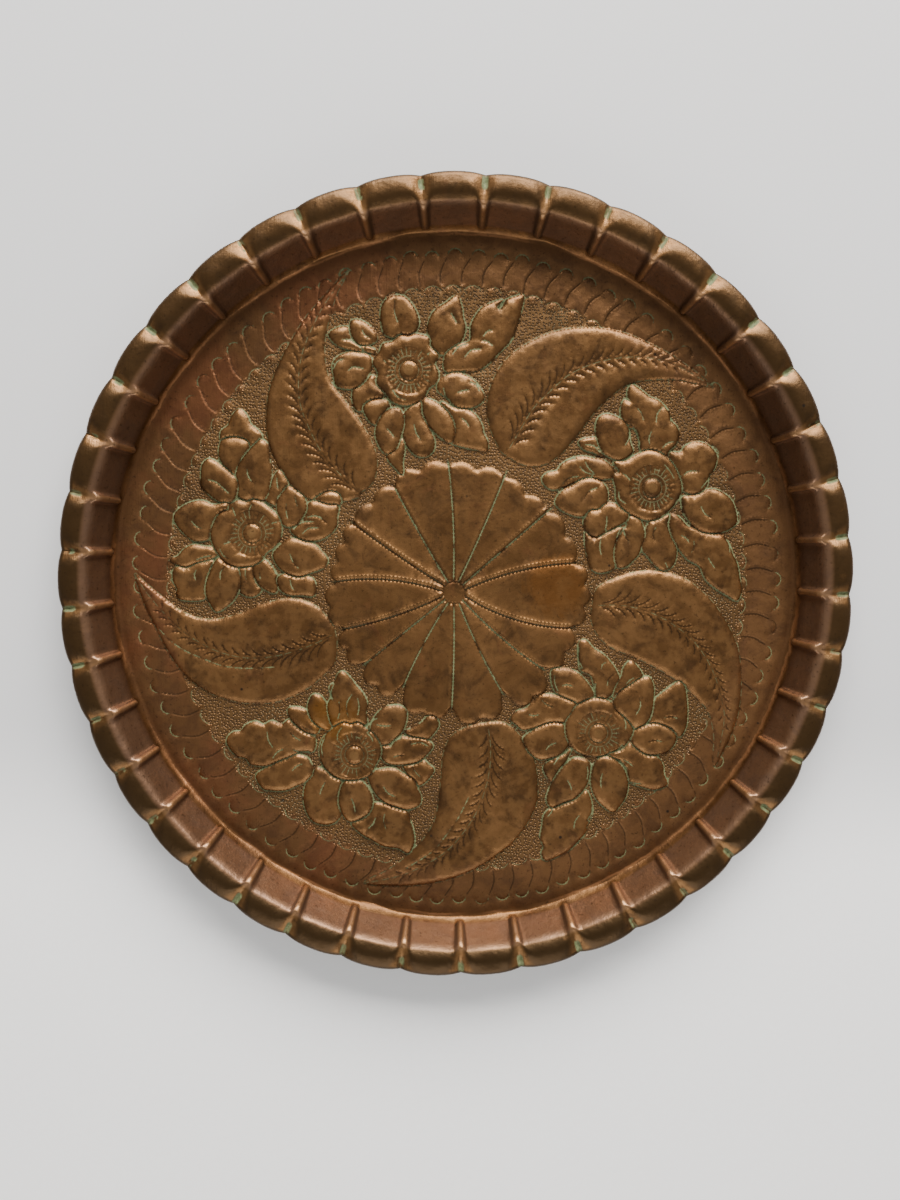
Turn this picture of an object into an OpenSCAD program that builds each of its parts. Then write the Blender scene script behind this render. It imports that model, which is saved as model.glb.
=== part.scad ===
// Round copper serving tray, raised from one sheet, with a fluted wall and a pie-crust rim
// whose edge is rolled over a stiffening wire. It lies on its base: +Z is up, and the origin
// is the centre of the underside of the floor. Millimetres.

/* [Dish] */
// Diameter of the flat floor, measured at the foot of the wall
floor_d = 279; // [200:1:460]
// Height of the wall above the floor, up to the ridge under the lip
wall_h = 16; // [8:0.5:30]
// How far the wall leans outwards over its height
wall_flare = 6; // [2:0.5:12]
// Thickness of the sheet
sheet_t = 1; // [0.6:0.1:1.6]
// Inside radius of the bend between the floor and the wall
foot_r = 2; // [1:0.1:3]
// How far the tray is out of round, as a share of its radius in percent
out_of_round = 0.7; // [0:0.1:1.5]

/* [Flutes] */
// Number of flutes round the wall
flutes = 41; // [24:1:60]
// How far the flutes, set out by eye, drift round from even spacing, in degrees
flute_drift = 1.2; // [0:0.1:3]
// How far each rib between two flutes stands in from the wall
rib_h = 2; // [0.6:0.1:3]
// Width of each rib at its foot
rib_w = 3.8; // [2:0.1:6]
// Height above the floor at which the ribs begin to fade out
rib_start = 4; // [3:0.5:6]
// How far the top of each rib stands above the ridge
rib_rise = 1.9; // [0:0.1:3]

/* [Lip] */
// Width of the lip from the ridge to the outer edge, at the middle of a lobe
lip_w = 11; // [7:0.5:14]
// Height of the lip above the ridge, at the middle of a lobe
lip_rise = 3; // [2:0.5:9]
// How far the edge steps in at the notch between two lobes
notch_in = 0.6; // [0:0.1:3]
// How far the edge dips at the notch
notch_dip = 1.8; // [0:0.1:4]
// Height that the lip loses between its crest and the top of the rolled edge
crest_drop = 0.9; // [0.3:0.1:2]

/* [Rolled edge] */
// Diameter of the stiffening wire
wire_d = 2; // [1.2:0.1:3]
// Gap between the wire and the sheet that is rolled round it
wire_gap = 0.05; // [0.02:0.01:0.2]

/* [Hidden] */

wire_r = wire_d / 2;
curl_in_r = wire_r + wire_gap;
curl_out_r = curl_in_r + sheet_t;
floor_r = floor_d / 2;
ridge_r = floor_r + wall_flare;
ridge_z = sheet_t + wall_h;
edge_r = ridge_r + lip_w;
top_z = ridge_z + lip_rise;
pitch_deg = 360 / flutes;
pitch = 2 * PI * ridge_r / flutes;
// The first notch, counted anticlockwise from +X
first_notch_deg = 7.4;
// Where the drift of the flutes is none and turns back
drift_from_deg = 6;
// Corners of the wire and of the roll, as angles in the section: from the lip over the edge to the tip
curl_deg = [100, 40, -20, -80, -140, -200];
// The bend at the foot of the wall, as angles in the section
wall_deg = atan2(wall_h, wall_flare);
foot_deg = [0, wall_deg / 2, wall_deg];
// Length of the flat stretch that the bend takes from the floor and from the wall
foot_len = foot_r * tan(wall_deg / 2);
// Where each flute is cut into columns, as shares of its pitch from one notch to the next
rib_share = min(0.2, rib_w / 2 / pitch);
columns = [0, rib_share, 0.36, 0.64, 1 - rib_share];

function mix(a, b, t) = a + (b - a) * t;
// Angle round the axis after a number of flutes from the first notch
function flute_deg(k) = let (even = first_notch_deg + k * pitch_deg)
    even - flute_drift * sin(2 * (even - drift_from_deg));
// 0 at a notch, 1 at the middle of a lobe, along an arc
function lobe(u) = 1 - pow(1 - 2 * min(u, 1 - u), 2);
// 1 on the crest of a rib, 0 from its foot on
function rib(u) = max(0, 1 - min(u, 1 - u) / rib_share);

// Centre of the rolled edge in the section
function roll_centre(u) = [
    edge_r - notch_in * (1 - lobe(u)) - curl_out_r,
    top_z - crest_drop - curl_out_r - notch_dip * (1 - lobe(u))
];
// A point on a circle round the centre of the rolled edge
function on_roll(u, r, a) = roll_centre(u) + r * [cos(a), sin(a)];

// Bend at the foot of the wall
function foot(a) = [floor_r - foot_len + foot_r * sin(a), sheet_t + foot_r * (1 - cos(a))];
// Inner face of the wall at a height above the floor, with its rib standing in
function wall_in(u, h) = [floor_r + wall_flare * h / wall_h - rib_h * rib(u), sheet_t + h];
// The ridge, which the rib lifts
function ridge(u) = wall_in(u, wall_h) + [0, rib_rise * rib(u)];
// Crest of the lip: at the middle of a lobe beside the roll, at a notch halfway from the rib
function crest(u) = mix(
    mix(ridge(0), on_roll(0, curl_out_r, curl_deg[0]), 0.5),
    [roll_centre(0.5)[0] - 0.7 * curl_out_r, top_z],
    lobe(u)
);

// Upper side of the sheet from the bend to the lip
function upper(u) = concat(
    [for (a = foot_deg) foot(a)],
    [wall_in(u, rib_start), ridge(u), crest(u)]
);
// Square to a stretch of the section, towards the underside
function under_normal(p, q) = [q[1] - p[1], p[0] - q[0]] / norm(q - p);
// A point of the upper side, set back by the thickness of the sheet
function set_back(before, p, after) = let (
    a = under_normal(before, p),
    b = under_normal(p, after)
) p + sheet_t * (a + b) / (1 + a * b);
// Underside of the sheet from the bend to the lip
function under(u) = let (
    line = concat([[0, sheet_t]], upper(u), [on_roll(u, curl_out_r, curl_deg[0])])
) [for (i = [1:len(line) - 2]) set_back(line[i - 1], line[i], line[i + 1])];

// Every column of the tray: its share of the pitch and its angle round the axis
turns = [for (k = [0:flutes - 1]) for (u = columns) [u, flute_deg(k + u)]];
n = len(turns);

// The sheet's section at a place in a flute, from the floor over the lip and back under it
function section(u) = let (low = under(u), m = len(curl_deg)) concat(
    upper(u),
    [for (a = curl_deg) on_roll(u, curl_out_r, a)],
    [for (i = [m - 1:-1:0]) on_roll(u, curl_in_r, curl_deg[i])],
    [for (i = [len(low) - 1:-1:0]) low[i]]
);

// A section point, turned to its angle on a tray that is slightly out of round
function place(p, deg) = [
    p[0] * cos(deg) * (1 - out_of_round / 100),
    p[0] * sin(deg) * (1 + out_of_round / 100),
    p[1]
];

// Two triangles between a column and the next, from one row of points to another
function patch(row, next, j) = let (
    a = row * n + j,
    b = row * n + (j + 1) % n,
    c = next * n + (j + 1) % n,
    d = next * n + j
) [[a, b, c], [a, c, d]];

module tray_sheet() {
    rows = len(section(0));
    rings = [for (i = [0:rows - 1]) for (t = turns) place(section(t[0])[i], t[1])];
    skin = [for (i = [0:rows - 2]) for (j = [0:n - 1]) each patch(i, i + 1, j)];
    floor_top = [for (j = [0:n - 1]) [j, rows * n, (j + 1) % n]];
    base = [for (j = [0:n - 1]) [(rows - 1) * n + j, (rows - 1) * n + (j + 1) % n, rows * n + 1]];
    color("#8a5433")
        polyhedron(
            points = concat(rings, [[0, 0, sheet_t], [0, 0, 0]]),
            faces = concat(skin, floor_top, base)
        );
}

module rim_wire() {
    sides = len(curl_deg);
    rings = [for (a = curl_deg) for (t = turns) place(on_roll(t[0], wire_r, a), t[1])];
    skin = [for (i = [0:sides - 1]) for (j = [0:n - 1]) each patch(i, (i + 1) % sides, j)];
    color("#5e5248")
        polyhedron(points = rings, faces = skin);
}

tray_sheet();
rim_wire();
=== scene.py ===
import math

import bpy
import numpy as np
from mathutils import Matrix, Vector, noise
from mathutils.geometry import delaunay_2d_cdt


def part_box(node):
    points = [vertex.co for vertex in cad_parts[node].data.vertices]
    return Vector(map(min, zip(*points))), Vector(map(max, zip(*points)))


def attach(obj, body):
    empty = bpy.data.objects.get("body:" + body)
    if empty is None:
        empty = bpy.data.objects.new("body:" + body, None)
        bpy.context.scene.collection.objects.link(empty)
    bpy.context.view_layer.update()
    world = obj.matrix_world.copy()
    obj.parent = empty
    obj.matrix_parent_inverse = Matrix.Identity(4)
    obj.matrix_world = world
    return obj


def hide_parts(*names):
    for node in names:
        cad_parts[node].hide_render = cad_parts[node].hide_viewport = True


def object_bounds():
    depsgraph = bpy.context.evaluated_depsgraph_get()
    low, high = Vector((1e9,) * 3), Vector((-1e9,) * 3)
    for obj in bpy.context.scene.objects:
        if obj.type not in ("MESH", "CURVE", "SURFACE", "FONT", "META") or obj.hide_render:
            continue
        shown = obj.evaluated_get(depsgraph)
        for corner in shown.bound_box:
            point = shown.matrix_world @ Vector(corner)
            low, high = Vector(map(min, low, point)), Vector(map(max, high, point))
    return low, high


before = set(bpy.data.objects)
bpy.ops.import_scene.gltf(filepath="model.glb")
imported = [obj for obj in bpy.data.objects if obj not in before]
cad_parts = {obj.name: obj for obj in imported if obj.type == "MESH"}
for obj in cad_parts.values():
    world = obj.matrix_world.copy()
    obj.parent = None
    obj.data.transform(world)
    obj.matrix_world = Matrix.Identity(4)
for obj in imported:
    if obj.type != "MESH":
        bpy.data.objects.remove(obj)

cad_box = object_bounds()

# A chased copper tray with a fluted wall and a pie-crust lip rolled over an iron wire.
# Everything is set out in millimetres on a round tray, seen from above, with the origin at
# the middle. It becomes metres, and slightly oval, only in place().

MM = 0.001
SHEET_HIGH = np.array(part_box("tray_sheet")[1]) / MM

# ---------------------------------------------------------------- sizes of the tray

# The skin stays this far inside the box of the CAD part, at its edge and at its top
EDGE_ROOM = 0.1
TOP_ROOM = 0.05
OVAL = (SHEET_HIGH[1] - SHEET_HIGH[0]) / (SHEET_HIGH[1] + SHEET_HIGH[0])
EDGE_R = (SHEET_HIGH[0] + SHEET_HIGH[1]) / 2 - EDGE_ROOM
TOP_Z = SHEET_HIGH[2] - TOP_ROOM

# Floor: the sheet, the level of its two sides, and the lowest that a groove may reach
SHEET_T = 1.0
FLOOR_Z = SHEET_T
UNDER_Z = 0.25
THINNEST = 0.42
FLAT_R = 137.5

# Wall: from the foot up to the ridge, where the lip begins
FOOT_R = 139.5
RIDGE_R = 145.5
RIDGE_Z = 17.0
WALL_H = RIDGE_Z - FLOOR_Z
WALL_SLOPE = (RIDGE_R - FOOT_R) / WALL_H
WALL_ANGLE = math.atan2(WALL_H, RIDGE_R - FOOT_R)
BEND_R = 1.7
BEND_FROM = FOOT_R - BEND_R * math.tan(WALL_ANGLE / 2)

# Flutes: evenly spaced but for a slow drift round the tray, with a rib between each two
FLUTES = 41
PITCH = math.tau / FLUTES
FIRST_NOTCH = math.radians(7.4)
DRIFT = math.radians(1.2)
DRIFT_FROM = math.radians(6)
RIB_H = 2.2
RIB_RISE = 0.8

# Lip: pillows between notches, and the roll round the wire
NOTCH_IN = 0.6
NOTCH_DIP = 1.8
CREST_DROP = 0.9
WIRE_R = 1.0
WIRE_FIT = 0.97
CURL_IN = WIRE_R + 0.05
CURL_OUT = CURL_IN + SHEET_T

# Rows of points round the rim, in order from the floor, over the lip and back underneath.
# A row on the wall has its height, half the width of a rib there, and how far the rib stands.
BEND_SHARES = (0.35, 0.75)
WALL_ROWS = ((2.5, 1.7, 0.0), (3.3, 1.9, 0.75), (4.6, 2.0, 1.0), (9.0, 2.2, 1.0), (13.5, 2.4, 0.95))
RIDGE_ROW = len(BEND_SHARES) + len(WALL_ROWS)
LIP_SHARES = (0.1, 0.22, 0.36, 0.5, 0.64, 0.77, 0.89)
LIP_MEETS_ROLL = 62
ROLL_DEGREES = (LIP_MEETS_ROLL, 30, 0, -40, -85, -140, -200)
INNER_ROLL_DEGREES = (-200, -130, -60, 20, 95)
UNDER_LIP_SHARES = (0.75, 0.4, 0.0)
UNDER_WALL_ROWS = ((13.5, 2.6, 0.95), (9.0, 2.5, 1.0), (4.6, 2.2, 0.8), (2.5, 1.7, 0.0))

# Distances of the columns from a rib, in millimetres along the ridge
COLUMN_GAPS = (0.0, 0.55, 1.1, 1.6, 2.1, 2.8, 4.0, 5.8, 8.2)

# The dent in a notch: its depth and its green in each row outwards, then both across it
DENT_ROW = RIDGE_ROW + 4
DENT_ALONG = ((0.1, 0.2), (0.5, 1.0), (0.75, 1.0), (0.65, 1.0), (0.2, 0.6))
DENT_GAPS = (0, 0.55, 1.1, 1.5)
DENT_DEPTHS = (1.0, 0.75, 0.1, 0.0)
DENT_GREENS = (0.75, 1.0, 0.55, 0.0)

# Pattern: the border round it, and how the whole sits on the floor
BORDER_IN = 118.0
BORDER_OUT = 134.0
SCALES = 86
PATTERN_SIZE = 0.986
PATTERN_AT = np.array([0.35, -0.8])

# Distances between points: along a line, in the plain parts of the floor, and underneath
LINE_STEP = 0.8
FLOOR_STEP = 2.2
UNDER_STEP = 3.0


def place(x, y, z):
    """Points of the round tray, in millimetres, on the slightly oval real one, in metres."""
    return np.stack([x * (1 - OVAL), y * (1 + OVAL), z], axis=-1) * MM


# ---------------------------------------------------------------- lines and outlines


def span(a, b, c, d, t):
    """The stretch from b to c of a smooth curve through four points."""
    bend = 2 * a - 5 * b + 4 * c - d
    twist = 3 * b - a - 3 * c + d
    return 0.5 * (2 * b + (c - a) * t + bend * t**2 + twist * t**3)


def smooth_line(points, closed=False):
    """A curve through the points, cut into even steps."""
    p = np.asarray(points, float)
    if closed:
        p = np.vstack([p[-1:], p, p[:2]])
    else:
        p = np.vstack([2 * p[0] - p[1], p, 2 * p[-1] - p[-2]])
    t = np.linspace(0, 1, 12, endpoint=False)[:, None]
    run = [span(*four, t) for four in zip(p[:-3], p[1:-2], p[2:-1], p[3:])]
    run = np.vstack(run + [p[-2:-1]])
    length = np.concatenate([[0], np.cumsum(np.linalg.norm(np.diff(run, axis=0), axis=1))])
    count = max(3, int(round(length[-1] / LINE_STEP)) + 1)
    at = np.linspace(0, length[-1], count)
    line = np.stack([np.interp(at, length, run[:, k]) for k in (0, 1)], axis=1)
    return line[:-1] if closed else line


def normals(line, closed=False):
    """The left-hand normal at each point of a line."""
    if closed:
        along = np.roll(line, -1, 0) - np.roll(line, 1, 0)
    else:
        along = np.gradient(line, axis=0)
    along /= np.maximum(np.linalg.norm(along, axis=1, keepdims=True), 1e-9)
    return np.stack([-along[:, 1], along[:, 0]], axis=1)


def bowed(start, end, bow, points=4):
    """A line from start to end that bows to its left by bow."""
    start, end = np.array(start, float), np.array(end, float)
    t = np.linspace(0, 1, points)[:, None]
    side = np.array([start[1] - end[1], end[0] - start[0]])
    side /= np.linalg.norm(side)
    return start + (end - start) * t + side * bow * 4 * t * (1 - t)


def arc(centre, radius, first, last, points=7):
    """Points of an arc between two angles in degrees."""
    a = np.radians(np.linspace(first, last, points))
    return np.array(centre) + radius * np.stack([np.cos(a), np.sin(a)], axis=1)


def disc(centre, radius):
    """A round outline."""
    return smooth_line(arc(centre, radius, 0, 330, 12), closed=True)


def ring_point(radius, angle):
    return np.array([radius * math.cos(angle), radius * math.sin(angle)])


def widened(outline, amount):
    """A closed outline, moved outwards."""
    x, y = outline[:, 0], outline[:, 1]
    turn = np.sign((x * np.roll(y, -1) - y * np.roll(x, -1)).sum())
    return outline - normals(outline, True) * turn * amount


def nearest(points, line, closed):
    """For each point: how far it is from the line, and how far along the nearest place is."""
    a = line if closed else line[:-1]
    b = np.roll(line, -1, 0) if closed else line[1:]
    ab = b - a
    length = np.maximum((ab**2).sum(1), 1e-12)
    rel = points[:, None, :] - a[None]
    t = np.clip((rel * ab[None]).sum(2) / length[None], 0, 1)
    gap = ((rel - t[..., None] * ab[None]) ** 2).sum(2)
    k = gap.argmin(1)
    rows = np.arange(len(points))
    steps = np.sqrt(length)
    start = np.concatenate([[0], np.cumsum(steps)])
    return np.sqrt(gap[rows, k]), start[k] + t[rows, k] * steps[k]


def inside(points, outline):
    """Which points lie inside a closed outline."""
    x, y = points[:, 0:1], points[:, 1:2]
    ax, ay = outline[:, 0], outline[:, 1]
    bx, by = np.roll(ax, -1), np.roll(ay, -1)
    crosses = (ay > y) != (by > y)
    at = ax + (y - ay) * (bx - ax) / np.where(by == ay, 1e-9, by - ay)
    return ((crosses & (x < at)).sum(1) % 2).astype(bool)


def in_box(points, line, margin):
    """The numbers of the points in the line's box, grown by a margin."""
    low, high = line.min(0) - margin, line.max(0) + margin
    return np.flatnonzero(((points >= low) & (points <= high)).all(1))


# ---------------------------------------------------------------- marks of the chasing tools

ON_LINE = 0.05


class Stroke:
    """A groove along a line, or a low ridge where the depth is negative."""

    def __init__(self, line, width=1.0, depth=0.4, green=0.5, dash=0, closed=False):
        self.line = line
        self.width = width
        self.depth = depth
        self.green = green
        self.dash = dash
        self.closed = closed
        self.length = np.cumsum(np.linalg.norm(np.diff(line, axis=0), axis=1))[-1]

    def strength(self, along):
        """How deep the tool went: dashed where it was lifted, and faint at both ends."""
        strength = np.ones_like(along)
        if self.dash:
            strength = np.clip(0.25 + 1.3 * np.abs(np.sin(math.pi * along / self.dash)), 0, 1)
        if not self.closed:
            ends = np.minimum(along, self.length - along)
            strength = strength * np.clip(0.35 + ends / 1.6, 0, 1)
        return strength


class Shape:
    """A raised form with a rounded edge, and the groove round it."""

    def __init__(self, outline, rise, rounding, groove=None, ground=0.0, matted=0.0):
        self.outline = outline
        self.rise = rise
        self.rounding = rounding
        self.groove = groove
        self.ground = ground
        self.matted = matted


class Relief:
    """What the tools leave at a set of points: how high, how deeply cut, and how green."""

    def __init__(self, points, marks, soft=0.0):
        self.points = points
        self.soft = soft
        self.high, self.cut, self.green, self.dark, self.ground = np.zeros((5, len(points)))
        for mark in marks:
            if isinstance(mark, Shape):
                self.raise_shape(mark)
            else:
                self.strike(mark)

    def raise_shape(self, shape):
        k = in_box(self.points, shape.outline, ON_LINE)
        gap, _ = nearest(self.points[k], shape.outline, True)
        held = inside(self.points[k], shape.outline) | (gap < ON_LINE)
        k, gap = k[held], gap[held]
        t = np.clip(gap / (shape.rounding + self.soft), 0, 1)
        self.high[k] = shape.ground + shape.rise * np.sqrt(1 - (1 - t) ** 2)
        self.ground[k] = shape.matted
        for layer in (self.cut, self.green, self.dark):
            layer[k] = 0
        if shape.groove:
            self.strike(shape.groove)

    def strike(self, stroke):
        reach = stroke.width + self.soft
        k = in_box(self.points, stroke.line, reach)
        if not len(k):
            return
        gap, along = nearest(self.points[k], stroke.line, stroke.closed)
        k, gap, along = k[gap < reach], gap[gap < reach], along[gap < reach]
        strength = stroke.strength(along)
        slope = 0.5 + 0.5 * np.cos(math.pi * gap / reach)
        if stroke.depth < 0:
            self.high[k] -= stroke.depth * strength * slope
            return
        self.cut[k] = np.maximum(self.cut[k], stroke.depth * strength * slope)
        line = strength * np.clip(1.0 - gap / (0.5 + 0.6 * self.soft), 0, 1)
        self.green[k] = np.maximum(self.green[k], stroke.green * line)
        if stroke.width < 1.5:
            self.dark[k] = np.maximum(self.dark[k], stroke.depth * line)


# ---------------------------------------------------------------- the pattern

# The curves are in millimetres. A form is listed before those that lie over it.
HUB = np.array([-1.5, -2.7])
# Each line of the rosette: where it ends, and how far it bows
ROSETTE_LINES = [
    (50.5, 9.5, 2.5), (38.5, 31.5, 0), (20.0, 46.0, -0.5), (-4.0, 51.0, -1.0), (-27.0, 42.0, 0.5),
    (-44.5, 26.5, 0.5), (-52.5, 1.5, -3.0), (-48.5, -18.0, 1.5), (-39.5, -33.0, 0), (-23.0, -42.5, -1.0),
    (-2.5, -52.5, 0.5), (19.5, -45.5, -1.0), (36.5, -35.0, -1.5), (49.0, -17.5, -3.5),
]
# How far out the petal after each line reaches
ROSETTE_EDGE = [52, 50, 51, 52, 50, 50, 52, 51, 51, 52, 54, 55, 53, 55]

# Each leaf: its left edge from the round end to the tip, its right edge, and its midrib.
# Some have a second stitched line beside the midrib.
LEAVES = [
    dict(
        left=[(17, 56), (13, 65), (12, 75), (15, 85), (21, 93), (30, 99), (40, 103), (53, 104.5), (66, 103),
              (79, 98), (91, 91.5), (105, 81)],
        right=[(20, 53), (28, 49), (36, 49.5), (43, 54), (50, 62), (56, 70), (63, 77), (71, 82), (80, 83.5),
               (90, 83.5), (98, 82)],
        midrib=[(21, 55.5), (26, 64), (31, 72), (38, 79), (45, 85), (53, 89), (62, 91.5), (72, 92.5),
                (82, 91.5), (92, 88), (104, 81.3)],
    ),
    dict(
        left=[(-44, 127), (-54, 117), (-62, 108), (-68, 99), (-73, 90), (-77, 80), (-78.5, 70), (-78, 60),
              (-74, 49), (-68, 40), (-60, 35), (-50, 34), (-41, 36)],
        right=[(-49, 117), (-52, 108), (-54, 99), (-54, 91), (-52, 83), (-46, 75), (-40, 67), (-35, 58),
               (-33, 50), (-35, 42), (-40, 38)],
        midrib=[(-41, 38), (-48, 45), (-55, 53), (-60, 62), (-64, 72), (-65, 80), (-64.5, 88), (-62.5, 96),
                (-59, 104), (-54, 113), (-44.5, 126)],
    ),
    dict(
        left=[(-51, -31), (-57, -38), (-65, -44), (-75, -48), (-86, -49), (-96, -47.5), (-105, -44),
              (-113, -38), (-120, -29), (-126, -17), (-131, -6), (-134, 5)],
        right=[(-51, -19), (-55, -12), (-61, -7), (-70, -5), (-80, -7), (-90, -11), (-100, -13.5),
               (-108, -13), (-116, -9.5), (-123, -4), (-129, 1)],
        midrib=[(-52, -20), (-60, -24), (-70, -27.5), (-80, -29.5), (-90, -29.5), (-100, -27), (-108, -23),
                (-115, -18), (-122, -11), (-128, -4), (-133.5, 4)],
        second=[(-76, -33.5), (-88, -34), (-98, -33), (-106, -30), (-113, -27), (-119, -23), (-124, -18)],
    ),
    dict(
        left=[(20, -57), (27, -63), (32, -71), (34, -80), (34, -90), (31, -98), (25, -107), (18, -113),
              (10, -118.5), (0, -123), (-12, -126), (-25, -127), (-40, -125.5)],
        right=[(11, -57), (3, -59), (-3, -63), (-6, -70), (-7, -80), (-8, -90), (-10, -99), (-15, -107),
               (-22, -114), (-30, -120)],
        midrib=[(13, -59), (14, -68), (13.5, -77), (11.5, -86), (8, -95), (3, -103), (-4, -111),
                (-13, -117), (-24, -122), (-39, -125.3)],
        second=[(5, -88), (0, -98), (-5, -105), (-11, -112), (-22, -119)],
    ),
    dict(
        left=[(58, -1), (65, 3), (75, 6), (85, 6), (95, 3), (102, -2), (108, -8), (114, -17), (118, -26),
              (119.5, -37), (119.5, -48), (117, -60), (109, -76)],
        right=[(56, -9), (56, -15), (59, -21), (65, -26), (75, -30), (85, -35), (93, -40), (100, -46),
               (106, -53), (108.5, -63)],
        midrib=[(58, -8), (68, -8), (76, -9.5), (83, -12), (91, -16.5), (98, -22), (104, -29.5), (108, -37),
                (111, -46), (112.5, -56), (110, -73)],
    ),
]

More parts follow.
